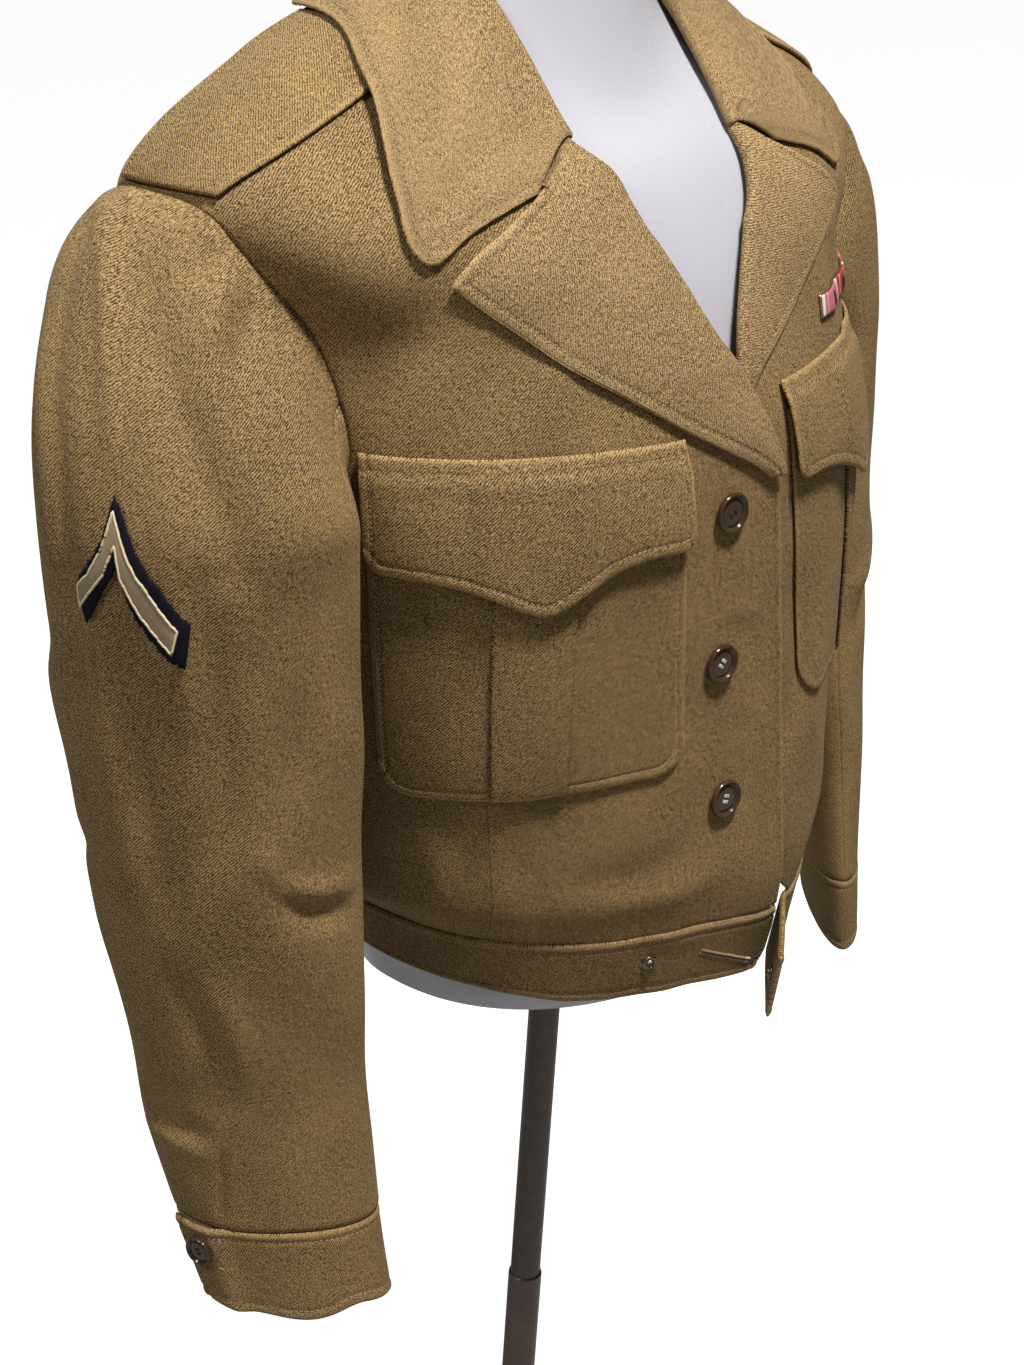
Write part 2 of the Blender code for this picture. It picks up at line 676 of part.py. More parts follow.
# Rings of the sleeves' outer faces, armpit to cuff: the last two rows bound the cuff
# z from_middle y long_half short_half twist
RIGHT_SLEEVE = np.array([
    (320, 260, -31, 83, 50, 45),
    (250, 261, -26, 82, 47, 45),
    (180, 262, -25, 79, 43.5, 44),
    (110, 263, -26, 74, 39.5, 43),
    (40, 262, -28, 68.5, 35, 42),
    (-20, 262, -28, 66, 33, 41),
    (-86, 262, -38, 60, 30, 40),
    (-135, 262, -53, 55, 28, 40),
], float)
LEFT_SLEEVE = np.array([
    (320, 264, 24, 84, 42, 25),
    (250, 261, 20, 84, 40, 28),
    (180, 261, 14, 80, 36, 32),
    (110, 259, 6, 76, 31, 35),
    (40, 255, -4, 72, 26, 37),
    (-10, 250, -13, 69, 22, 38),
    (-50, 245, -20, 67, 19, 38),
    (-98, 239, -28, 64, 16, 38),
], float)
CUFF_ROW = 6
HEAD_ROWS = 7
SET_IN = 2.1  # the sleeve lies this far inside the armhole's edge, chords allowed for
ARM_ROWS = 10
FRONT_SEAM_TURN = 128.0
BACK_SEAM_TURN = 247.0


def sleeve_ring(side, turn, row, out=0.0):
    """Point above a sleeve's outer face; turn 0 is outermost, 90 the front."""
    ring = smooth_rows(RIGHT_SLEEVE if side == RIGHT else LEFT_SLEEVE, row)
    z, x, y, long_half, short_half, twist = np.moveaxis(ring, -1, 0)
    swing = np.radians(90.0 + turn - twist)
    twist = np.radians(twist)
    along, across = (long_half + out) * np.cos(swing), (short_half + out) * np.sin(swing)
    px = x + along * np.sin(twist) + across * np.cos(twist)
    py = y + along * np.cos(twist) - across * np.sin(twist)
    return np.stack([side * px, py, z + 0 * px], -1)


def armhole_point(side, turn):
    """Point where the sleeve is set in, just inside the edge of the body's panels."""
    angle, level = armhole(turn)
    edge = body(side * angle, level, WOOL)
    toward = body(side * 90.0, 7.0, WOOL) - edge
    return edge + unit(toward) * SET_IN


def head_start(side, turn):
    """Direction in which the cloth leaves the armhole."""
    swing = np.radians(turn)
    out = np.full(turn.shape, side * 0.85)
    return unit(np.stack([out, -0.42 * np.sin(swing), 0.34 * np.cos(swing) - 0.56], -1))


def sleeve_point(side, turn, row):
    """Point of the sleeve's outer face; rows below 0 are the head, -1 is the armhole."""
    start = armhole_point(side, turn)
    end = sleeve_ring(side, turn, np.zeros(turn.shape))
    reach = np.linalg.norm(end - start, axis=-1, keepdims=True)
    leave = head_start(side, turn) * reach * 0.9
    arrive = unit(sleeve_ring(side, turn, np.full(turn.shape, 0.1)) - end) * reach * 0.9
    t = np.clip(row + 1, 0, 1)[..., None]
    head = (start * (1 + 2 * t) * (1 - t) ** 2 + leave * t * (1 - t) ** 2
            + end * t * t * (3 - 2 * t) + arrive * t * t * (t - 1))
    return np.where(row[..., None] < 0, head, sleeve_ring(side, turn, np.maximum(row, 0)))


def sleeve_rows():
    head = np.linspace(-1, 0, HEAD_ROWS)[:-1]
    return np.concatenate([head, np.linspace(0, CUFF_ROW - 0.01, ARM_ROWS)])


def sleeve_face(side, turns, rows):
    """Points of the sleeve's outer face with their normals."""
    grid = sleeve_point(side, turns % 360, rows)
    around = sleeve_point(side, (turns + 1) % 360, rows) - sleeve_point(side, (turns - 1) % 360, rows)
    down = sleeve_point(side, turns % 360, rows + 0.02) - grid
    return grid, side * unit(np.cross(around, down))


def make_sleeve_half(name, side, first, last, columns, material):
    turns, rows = np.meshgrid(np.linspace(first, last, columns), sleeve_rows())
    grid, away = sleeve_face(side, turns, rows)
    wall(name, grid, grid - away * WOOL, material)


def make_sleeve(side, word, material):
    gap = 0.2
    first = BACK_SEAM_TURN - 360 + gap
    make_sleeve_half("top_sleeve_" + word, side, first, FRONT_SEAM_TURN - gap, 15, material)
    make_sleeve_half("under_sleeve_" + word, side, FRONT_SEAM_TURN + gap, BACK_SEAM_TURN - gap, 8, material)


# ---- cuffs -------------------------------------------------------------------------

CUFF_END_TURN = -24.0  # free end of the cuff, which laps over its other end
CUFF_LAP = 30.0
CUFF_BUTTON = (-2.0, 6.25)  # turn and row


def make_cuff(side, word, material):
    turns = np.linspace(CUFF_END_TURN, CUFF_END_TURN + 360 + CUFF_LAP, 27)
    lap = BAND + 0.4
    raised = lap * ease((CUFF_END_TURN + CUFF_LAP + 14.0 - turns) / 14.0)
    turns, rows = np.meshgrid(turns, np.linspace(CUFF_ROW + 0.01, CUFF_ROW + 1, 3))
    outer = sleeve_ring(side, turns, rows, raised)
    inner = sleeve_ring(side, turns, rows, raised - BAND)
    wall("cuff_" + word, outer, inner, material)


# ---- chevrons, ribbon bar, buttons, studs ------------------------------------------

# Edges of a chevron on the sleeve, as turn and row: back end, apex, front end
CHEVRON_UPPER = [(4.0, 0.15), (24.5, -0.23), (48.5, 0.46)]
CHEVRON_LOWER = [(8.0, 0.47), (24.5, -0.06), (44.5, 0.71)]
CHEVRON_THICK = 1.6
CHEVRON_LAID = 1.1


def make_chevron(side, word, material):
    share = np.array([0, 0.33, 0.67, 0.94, 1.06, 1.25, 1.5, 1.75, 2.0])
    edges = []
    for edge in (CHEVRON_LOWER, CHEVRON_UPPER):
        turn, row = np.array(edge).T
        edges.append((np.interp(share, (0, 1, 2), turn), np.interp(share, (0, 1, 2), row)))
    low, high = np.array(edges)
    steps = np.linspace(0, 1, 4)[:, None]
    turns = low[0] * (1 - steps) + high[0] * steps
    rows = low[1] * (1 - steps) + high[1] * steps
    grid, away = sleeve_face(side, turns, rows)
    wall("chevron_" + word, grid + away * (CHEVRON_LAID + CHEVRON_THICK), grid + away * CHEVRON_LAID, material)


RIBBON_ARC = (98.0, 196.0)
RIBBON_HEIGHT = (377.0, 389.0)
RIBBON_THICK = 3.0


def make_ribbon_bar(material):
    arcs = np.repeat(np.linspace(*RIBBON_ARC, 10)[None], 2, axis=0)
    heights = np.repeat(np.array(RIBBON_HEIGHT)[:, None], 10, axis=1)
    low = on_front(LEFT, arcs, heights, LAID)
    wall("ribbon_bar", on_front(LEFT, arcs, heights, LAID + RIBBON_THICK), low, material)


FRONT_BUTTONS = [(-1.8, 5.44), (-3.2, 4.17), (-2.4, 2.96)]  # angle and level
BUTTON_RADIUS = 11.5
CUFF_BUTTON_SCALE = 0.8
BUTTON_PROFILE = [(0, 0), (0.7, 0), (0.97, 0.16), (0.97, 0.34), (0.84, 0.40), (0.74, 0.28), (0, 0.25)]
STUD_PROFILE = [(0, 0), (4.6, 0), (4.6, 0.8), (2.6, 1.6), (2.2, 3.0), (0, 3.2)]


def make_button(name, place, axis, radius, material):
    profile = [(radius * across, radius * high) for across, high in BUTTON_PROFILE]
    turned(name, profile, material, place, axis, segments=18)


def make_front_buttons(material):
    for number, (angle, level) in enumerate(FRONT_BUTTONS, 1):
        place = front(RIGHT, angle, level, WOOL + GAP)
        axis = unit(front(RIGHT, angle, level, WOOL + 5) - place)
        make_button("button_front_%d" % number, place + axis * 0.25, axis, BUTTON_RADIUS, material)


def make_cuff_button(side, word, material):
    turn, row = np.array(CUFF_BUTTON)
    place = sleeve_ring(side, turn, row, BAND + 0.4)
    axis = side * unit(np.cross(sleeve_ring(side, turn + 1, row, BAND) - sleeve_ring(side, turn - 1, row, BAND),
                                sleeve_ring(side, turn, row + 0.1, BAND) - sleeve_ring(side, turn, row, BAND)))
    radius = BUTTON_RADIUS * CUFF_BUTTON_SCALE
    make_button("button_cuff_" + word, place + axis * 0.6, axis, radius, material)


STUD_ARC = 55.0
STUD_HEIGHT = 27.0


def make_studs(material):
    level = level_at(STUD_HEIGHT)
    angle = angle_after(-STUD_ARC, level)
    place = front(RIGHT, angle, level, BAND + GAP + 0.7)
    axis = unit(front(RIGHT, angle, level, BAND + 5) - place)
    turned("snap_stud_right", STUD_PROFILE, material, place, axis, segments=16)
    grid = left_band_grid()
    near_tip = grid[1:3, 1].mean(axis=0)
    inward = -unit(grid_normals(grid)[1:3, 1].mean(axis=0))
    turned("snap_stud_left", STUD_PROFILE, material, near_tip + inward * (BAND + GAP + 0.2), inward, segments=16)


# ---- dress form and stand ----------------------------------------------------------

# Rings of the form: level of the jacket's ring and how far inside it
FORM_LEVELS = [
    (0.12, 10.0),
    (1.0, 9.0),
    (2.0, 16.0),
    (3.0, 14.0),
    (4.0, 10.0),
    (5.0, 8.0),
    (6.0, 7.0),
    (7.0, 5.0),
    (8.0, 3.2),
    (8.4, 2.4),
    (8.8, 1.6),
    (9.1, 1.5),
    (9.5, 3.0),
    (9.9, 5.2),
]
FORM_ROWS = 20
FORM_COLUMNS = 32
FORM_BOTTOM = -3.0
NECK_HALVES = (60.0, 56.0)
NECK_RINGS = [(590.0, 1.04), (618.0, 1.0), (642.0, 1.0), (648.0, 0.92)]  # height, share
NECK_MIDDLE = -2.0

# The pole meets the hem's plane here and leans from the form's axis
POLE_PLACE = np.array([7.5, 9.5, 0.0])
POLE_LEAN = np.array([0.0795, -0.0686, 1.0]) / np.linalg.norm([0.0795, -0.0686, 1.0])
POLE_RADIUS = 10.5
TUBE_RADIUS = 11.8
TUBE_TOP = -316.0
SOCKET_DEPTH = 70.0
FLANGE_RINGS = [(46.0, -GAP), (46.0, -3.0), (44.0, -5.0), (20.0, -6.0)]  # radius, below the form
FLANGE_NECK = [(16.0, -13.0), (15.0, -20.0)]  # radius, height along the pole
BASE_RINGS = [(175.0, 0.0), (175.0, 6.0), (171.0, 9.0), (32.0, 12.0)]  # radius, above the floor
BASE_NECK = [(21.0, 22.0), (20.0, 36.0)]
RING_COLUMNS = 32


def stacked(name, rings, start, end, material):
    """Closed body of rings joined one to the next, with a fan to a point at each end."""
    columns = len(rings[0])
    points = np.concatenate(rings + [[start], [end]])
    faces = grid_faces(len(rings), columns, 0, True)
    first = len(rings) * columns
    last = (len(rings) - 1) * columns
    for column in range(columns):
        after = (column + 1) % columns
        faces.append((first, after, column))
        faces.append((first + 1, last + column, last + after))
    add_object(name, mesh_from(name, points, faces), material)


def make_form(material):
    angles = np.linspace(0, 360, FORM_COLUMNS, endpoint=False)
    angles = (angles + 180) % 360 - 180
    rings = []
    for level, inset in spread(FORM_LEVELS, FORM_ROWS):
        ring = body(angles, level, -inset)
        if level < 1:
            ring[:, 2] = FORM_BOTTOM + (ring[:, 2] - FORM_BOTTOM) * level * 0.5
        rings.append(ring)
    rings[0][:, 2] = FORM_BOTTOM
    swing = np.radians(angles)
    for height, share in NECK_RINGS:
        x = NECK_HALVES[0] * share * np.sin(swing)
        y = NECK_MIDDLE - NECK_HALVES[1] * share * np.cos(swing)
        rings.append(np.stack([x, y, np.full(x.shape, height)], -1))
    top = (0, NECK_MIDDLE, NECK_RINGS[-1][0])
    stacked("dress_form", rings, (0, 0, FORM_BOTTOM), top, material)


def level_ring(radius, height):
    swing = np.linspace(0, 2 * pi, RING_COLUMNS, endpoint=False)
    centre = POLE_PLACE + POLE_LEAN * height / POLE_LEAN[2]
    return centre + radius * np.stack([np.cos(swing), np.sin(swing), 0 * swing], -1)


def leaning_ring(radius, reach):
    """Ring square to the pole, at a distance along it from the hem's plane."""
    flat = level_ring(radius, 0) - POLE_PLACE
    square = flat - np.outer(flat @ POLE_LEAN, POLE_LEAN)
    return POLE_PLACE + POLE_LEAN * reach + radius * unit(square)


def make_stand(metal, paint):
    rings = [level_ring(radius, FORM_BOTTOM + height) for radius, height in FLANGE_RINGS]
    rings += [leaning_ring(radius, reach) for radius, reach in FLANGE_NECK]
    neck = FLANGE_NECK[-1][1]
    stacked("form_flange", rings, rings[0].mean(axis=0), POLE_PLACE + POLE_LEAN * neck, metal)
    low = TUBE_TOP - SOCKET_DEPTH + GAP
    profile = [(0, low), (POLE_RADIUS, low), (POLE_RADIUS, neck - GAP), (0, neck - GAP)]
    turned("pole_upper", profile, metal, POLE_PLACE, POLE_LEAN)
    floor = -HEM_HEIGHT / POLE_LEAN[2]
    foot = floor + BASE_NECK[-1][1] + GAP
    bore = POLE_RADIUS + GAP
    profile = [
        (0, foot), (TUBE_RADIUS, foot), (TUBE_RADIUS, TUBE_TOP - 1), (TUBE_RADIUS - 1, TUBE_TOP),
        (bore, TUBE_TOP), (bore, TUBE_TOP - SOCKET_DEPTH), (0, TUBE_TOP - SOCKET_DEPTH),
    ]
    turned("pole_lower", profile, paint, POLE_PLACE, POLE_LEAN)
    rings = [level_ring(radius, height - HEM_HEIGHT) for radius, height in BASE_RINGS]
    rings += [leaning_ring(radius, floor + reach) for radius, reach in BASE_NECK]
    top = POLE_PLACE + POLE_LEAN * (floor + BASE_NECK[-1][1])
    stacked("base_plate", rings, rings[0].mean(axis=0), top, paint)


def clear_old_scene():
    for old in list(bpy.data.objects):
        bpy.data.objects.remove(old, do_unlink=True)


def build():
    clear_old_scene()
    wool = material_of("olive wool serge", (0.16, 0.115, 0.055), 0.95)
    band = material_of("olive wool serge, bands", (0.155, 0.11, 0.055), 0.95)
    leaf = material_of("lighter wool serge", (0.27, 0.21, 0.11), 0.95)
    patch = material_of("navy wool patch", (0.03, 0.035, 0.06), 0.9)
    ribbon = material_of("striped ribbon", (0.45, 0.09, 0.10), 0.7)
    horn = material_of("brown button", (0.045, 0.022, 0.012), 0.25)
    metal = material_of("plated metal", (0.55, 0.54, 0.52), 0.35, 0.9)
    paint = material_of("dark metal", (0.11, 0.07, 0.06), 0.45, 0.6)
    white = material_of("white form", (0.82, 0.82, 0.82), 0.6)
    make_back(wool)
    make_back_band(band)
    make_right_band(band)
    make_left_band(band)
    make_lapel(RIGHT, "lapel_right", RIGHT_LAPEL, leaf)
    make_lapel(LEFT, "lapel_left", LEFT_LAPEL, leaf)
    make_collar(leaf)
    for side, word in ((RIGHT, "right"), (LEFT, "left")):
        make_front(side, "front_" + word, wool)
        make_sleeve(side, word, wool)
        make_cuff(side, word, band)
        make_strap(side, word, wool)
        make_pocket(side, word, wool)
        make_pleat(side, word, wool)
        make_flap(side, word, wool)
        make_chevron(side, word, patch)
        make_cuff_button(side, word, horn)
    make_ribbon_bar(ribbon)
    make_front_buttons(horn)
    make_studs(metal)
    make_form(white)
    make_stand(metal, paint)


build()
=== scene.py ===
import math

import bmesh
import bpy
import numpy as np
from mathutils import Matrix, Vector
from mathutils.bvhtree import BVHTree


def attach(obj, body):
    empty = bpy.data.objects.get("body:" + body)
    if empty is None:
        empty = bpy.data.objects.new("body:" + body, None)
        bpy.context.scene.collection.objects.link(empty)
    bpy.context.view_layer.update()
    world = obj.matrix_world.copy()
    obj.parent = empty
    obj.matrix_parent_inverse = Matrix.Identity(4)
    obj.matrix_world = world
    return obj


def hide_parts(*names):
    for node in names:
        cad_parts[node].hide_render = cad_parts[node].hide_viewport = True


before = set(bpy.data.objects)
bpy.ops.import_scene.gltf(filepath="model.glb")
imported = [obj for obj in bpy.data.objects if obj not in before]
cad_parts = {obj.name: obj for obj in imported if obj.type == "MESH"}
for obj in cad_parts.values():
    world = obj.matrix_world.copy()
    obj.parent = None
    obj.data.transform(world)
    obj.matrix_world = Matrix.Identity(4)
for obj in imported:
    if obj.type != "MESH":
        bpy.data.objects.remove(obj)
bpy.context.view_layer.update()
mm = 0.001
right, left = -1, 1  # the wearer's sides; the right is at -X and the front faces -Y
upright = np.array([0.0, 0.0, 1.0])

jacket = {"hemHeight": 700.0, "gap": 0.3, "wool": 2.2, "band": 3.6, "leaf": 2.8, "laid": 0.45,
          "frontLap": 3.2, "rightSag": 18.0, "leftSag": 24.0, "sideSeam": 92.0, "neckLevel": 10.0}

# rings of the inner face, hem to neck: zFront zSide zBack halfWidth yFront ySide yBack power
bodyRings = np.array([
    (2, 25, 6, 150, -139, 0, 104, 2.2),
    (47, 61, 52, 158, -149, 0, 110, 2.2),
    (78, 84, 80, 174, -154, 0, 119, 2.2),
    (130, 133, 131, 181, -154, 0, 121, 2.2),
    (200, 202, 202, 186, -155, 2, 120, 2.2),
    (270, 272, 274, 192, -158, 4, 119, 2.2),
    (335, 340, 346, 198, -159, 8, 120, 2.2),
    (398, 412, 420, 206, -146, 16, 124, 2.2),
    (448, 484, 490, 228, -125, 34, 125, 2.4),
    (485, 540, 540, 150, -102, 32, 104, 2.1),
    (510, 568, 576, 82, -78, 14, 74, 2.0),
], float)

# armhole seam, round from the shoulder's end: turn angle level
armholeRows = [
    (0, 91, 8.04), (30, 80, 8.00), (60, 72, 7.84), (90, 67.5, 7.40), (120, 65.8, 6.75), (150, 67, 6.12),
    (165, 76, 5.90), (180, 92, 5.80), (210, 110, 6.05), (240, 117, 6.55), (270, 118, 7.10),
    (300, 115, 7.60), (330, 105, 7.95), (360, 91, 8.04),
]

# free edge, roll line and neck edge of each front: level rightAngle leftAngle
frontEdge = [
    (1.0, 14.6, -10.0), (2.0, 13.0, -9.8), (3.0, 12.2, -9.5), (4.2, 10.8, -9.2), (5.4, 8.6, -9.0),
    (5.9, 5.2, -6.0), (6.52, 0.2, 3.0), (6.95, -2.8, 5.0), (7.4, -4.4, 7.2), (7.85, -5.6, 9.4),
    (8.3, -8.0, 14.5), (8.72, -12.0, 21.5), (9.03, -19.5, 29.0), (9.3, -28.0, 38.0),
    (9.6, -40.0, 50.0), (10.0, -60.0, 66.0),
]


# curves and surfaces
def smoothRows(table, position):
    # Catmull-Rom curve through the rows of a table
    last = len(table) - 1
    position = np.clip(np.asarray(position, float), 0, last)
    row = np.minimum(position.astype(int), last - 1)
    t = (position - row)[..., None]
    before, start = table[np.maximum(row - 1, 0)], table[row]
    end, after = table[row + 1], table[np.minimum(row + 2, last)]
    bend = 2 * before - 5 * start + 4 * end - after
    swing = 3 * (start - end) + after - before
    return start + 0.5 * t * ((end - before) + t * (bend + t * swing))


def spread(table, count):
    return smoothRows(np.array(table, float), np.linspace(0, len(table) - 1, count))


def unit(vectors):
    return vectors / np.maximum(np.linalg.norm(vectors, axis=-1, keepdims=True), 1e-12)


def ease(value):
    value = np.clip(value, 0, 1)
    return value * value * (3 - 2 * value)


def bodySkin(angle, level):
    angle, level = np.broadcast_arrays(np.asarray(angle, float), np.asarray(level, float))
    ring = smoothRows(bodyRings, level)
    zFront, zSide, zBack, halfWidth, yFront, ySide, yBack, power = np.moveaxis(ring, -1, 0)
    sine, cosine = np.sin(np.radians(angle)), np.cos(np.radians(angle))
    x = halfWidth * np.sign(sine) * np.abs(sine) ** (2 / power)
    y = ySide + (np.where(cosine > 0, yFront, yBack) - ySide) * np.abs(cosine) ** (2 / power)
    z = zSide + (np.where(cosine > 0, zFront, zBack) - zSide) * cosine ** 2
    return np.stack([x, y, z], -1)


def bodyPoint(angle, level, out=0.0):
    angle, level = np.broadcast_arrays(np.asarray(angle, float), np.asarray(level, float))
    across = bodySkin(angle + 0.5, level) - bodySkin(angle - 0.5, level)
    upward = bodySkin(angle, level + 0.02) - bodySkin(angle, level - 0.02)
    return bodySkin(angle, level) + unit(np.cross(across, upward)) * np.asarray(out, float)[..., None]


# arcs round the body at even levels and angles, to go between arc and angle
chart = {"levels": 200, "perLevel": 20, "angles": 240, "degrees": 0.75}
chartLevels = np.linspace(0, jacket["neckLevel"], chart["levels"] + 1)
chartAngles = np.linspace(0, 180, chart["angles"] + 1)
chartPoints = bodySkin(chartAngles[None], chartLevels[:, None])
chartSteps = np.linalg.norm(np.diff(chartPoints, axis=1), axis=-1)
chartArcs = np.concatenate([np.zeros((chart["levels"] + 1, 1)), np.cumsum(chartSteps, axis=1)], axis=1)
chartHeights = smoothRows(bodyRings, chartLevels)[:, 0]


def levelAt(height):
    return np.interp(height, chartHeights, chartLevels)


def arcRows(level):
    spot = np.clip(np.asarray(level, float), 0, jacket["neckLevel"]) * chart["perLevel"]
    low = np.minimum(spot.astype(int), chart["levels"] - 1)
    share = (spot - low)[..., None]
    return chartArcs[low] * (1 - share) + chartArcs[low + 1] * share


def angleAfter(arc, level):
    # angle reached by going an arc, in mm, round the ring at a level
    arc, level = np.broadcast_arrays(np.asarray(arc, float), np.asarray(level, float))
    rows, reach = arcRows(level), np.abs(arc)[..., None]
    column = np.clip((rows < reach).sum(-1), 1, chart["angles"])
    high = np.take_along_axis(rows, column[..., None], -1)[..., 0]
    low = np.take_along_axis(rows, column[..., None] - 1, -1)[..., 0]
    share = (reach[..., 0] - low) / (high - low)
    return np.sign(arc) * (column - 1 + share) * chart["degrees"]


def arcOf(angle, level):
    # signed arc from the centre front
    angle, level = np.broadcast_arrays(np.asarray(angle, float), np.asarray(level, float))
    rows, spot = arcRows(level), np.clip(np.abs(angle), 0, 359.9) / chart["degrees"]
    past = spot > chart["angles"]
    spot = np.where(past, 2 * chart["angles"] - spot, spot)
    low = np.minimum(spot.astype(int), chart["angles"] - 1)
    share = spot - low
    arc = (np.take_along_axis(rows, low[..., None], -1)[..., 0] * (1 - share)
           + np.take_along_axis(rows, low[..., None] + 1, -1)[..., 0] * share)
    return np.sign(angle) * np.where(past, 2 * rows[..., -1] - arc, arc)


def lapLift(side, angle, level):
    if side == left:
        return 0 * angle
    return jacket["frontLap"] * ease((angle + 22.0) / 11.0) * np.clip((7.15 - level) / 0.5, 0, 1)


def sag(side, angle, level):
    if side == right:
        drop = jacket["rightSag"] * ease((angle + 12.0) / 28.0)
    else:
        drop = jacket["leftSag"] * ease((62.0 - angle) / 40.0) * ease((angle - 13.0) / 12.0)
    return drop * np.clip((5.0 - level) / 4.0, 0, 1)


def frontPoint(side, angle, level, out):
    angle, level = np.broadcast_arrays(np.asarray(angle, float), np.asarray(level, float))
    points = bodyPoint(angle, level, lapLift(side, angle, level) + out)
    points[..., 2] -= sag(side, angle, level)
    return points


def onFront(side, arc, height, out):
    level = levelAt(height)
    return frontPoint(side, angleAfter(side * arc, level), level, jacket["wool"] + out)


# folds: soft troughs and ridges along a way, and a slow unevenness of all cloth
foldSteps = 72
foldFade = np.sin(np.pi * np.linspace(0.05, 0.95, foldSteps)) ** 0.7


def foldWay(points, depth, width):
    return spread(points, foldSteps), depth, width


def unevenness(points, size):
    waves = [(0.031, 0.017, 0.043, 0.4), (-0.052, 0.038, 0.021, 1.9), (0.019, -0.061, 0.047, 3.1),
             (0.083, 0.071, -0.039, 4.4), (-0.047, 0.093, 0.088, 0.9), (0.112, -0.034, 0.067, 2.6)]
    total = 0
    for number, (x, y, z, start) in enumerate(waves):
        total = total + np.sin(points @ np.array([x, y, z]) + start) / (1 + 0.45 * number)
    return total * size / 2.4


def foldLift(points, folds, wave):
    lift = unevenness(points, wave)
    flat = points.reshape(-1, 3)
    for way, depth, width in folds:
        low, high = way.min(0) - 3 * width, way.max(0) + 3 * width
        near = np.nonzero(((flat > low) & (flat < high)).all(1))[0]
        apart = ((flat[near][:, None] - way[None]) ** 2).sum(-1)
        share = np.zeros(len(flat))
        share[near] = np.max(foldFade * np.exp(-apart / width ** 2), axis=1) if len(near) else 0
        lift = lift + depth * share.reshape(points.shape[:-1])
    return lift


def gridNormals(grid):
    return unit(np.cross(np.gradient(grid, axis=1), np.gradient(grid, axis=0)))


# cloth shells
sewing = {"inset": 6.0, "near": [0, 0.5, 1.2, 2.2, 3.3, 4.4, 5.2, 6.0, 6.8, 7.8, 9.2],
          "groove": 0.6, "puff": 0.25, "stitch": 2.2, "space": 3.0, "linePoints": 160,
          "thin": 0.6, "rimWidth": 0.7, "wide": 0.34, "high": 0.26, "sunk": 0.12}
threadRuns = []


def steps(length, spacing, near=False, far=False):
    # shares along a length, closer together where there is a stitched edge
    fine = np.array(sewing["near"])
    start = fine if near else np.zeros(1)
    end = length - fine[::-1] if far else np.array([length])
    middle = np.linspace(start[-1], end[0], max(3, int((end[0] - start[-1]) / spacing) + 2))[1:-1]
    return np.concatenate([start, middle, end]) / length


def borderLine(face, edge):
    return {"low": face[0], "high": face[-1], "start": face[:, 0], "end": face[:, -1]}[edge]


def farFrom(face, line):
    flat = face.reshape(-1, 3)
    fine = spread(line, min(len(line) * 2, 300))
    apart = np.full(len(flat), 1e9)
    for first in range(0, len(flat), 4000):
        part = flat[first:first + 4000]
        apart[first:first + 4000] = np.sqrt(((part[:, None] - fine[None]) ** 2).sum(-1).min(1))
    return apart.reshape(face.shape[:-1])


def stitchLine(face, normals, edge, inset, others):
    # points a set way in from an edge, on the face
    count = sewing["linePoints"]
    line = spread(borderLine(face, edge), count)
    inside = borderLine(face[1:-1, 1:-1], edge)
    along = unit(np.gradient(line, axis=0))
    flat, flatNormals = face.reshape(-1, 3), normals.reshape(-1, 3)
    near = ((line[:, None] - flat[None]) ** 2).sum(-1).argmin(1)
    inward = unit(np.cross(flatNormals[near], along))
    if (inward * (spread(inside, count) - line)).sum() < 0:
        inward = -inward
    points = line + inward * inset
    near = ((points[:, None] - flat[None]) ** 2).sum(-1).argmin(1)
    square = flatNormals[near]
    points = points - square * ((points - flat[near]) * square).sum(-1, keepdims=True)
    keep = np.ones(len(points), bool)
    for other, otherInset in others:
        rim = spread(borderLine(face, other), count)
        keep &= np.sqrt(((points[:, None] - rim[None]) ** 2).sum(-1).min(1)) > otherInset * 0.9
    return points[keep], square[keep]


def sew(points, normals, colour="thread"):
    if len(points) > 3:
        threadRuns.append((np.asarray(points), np.asarray(normals), colour))


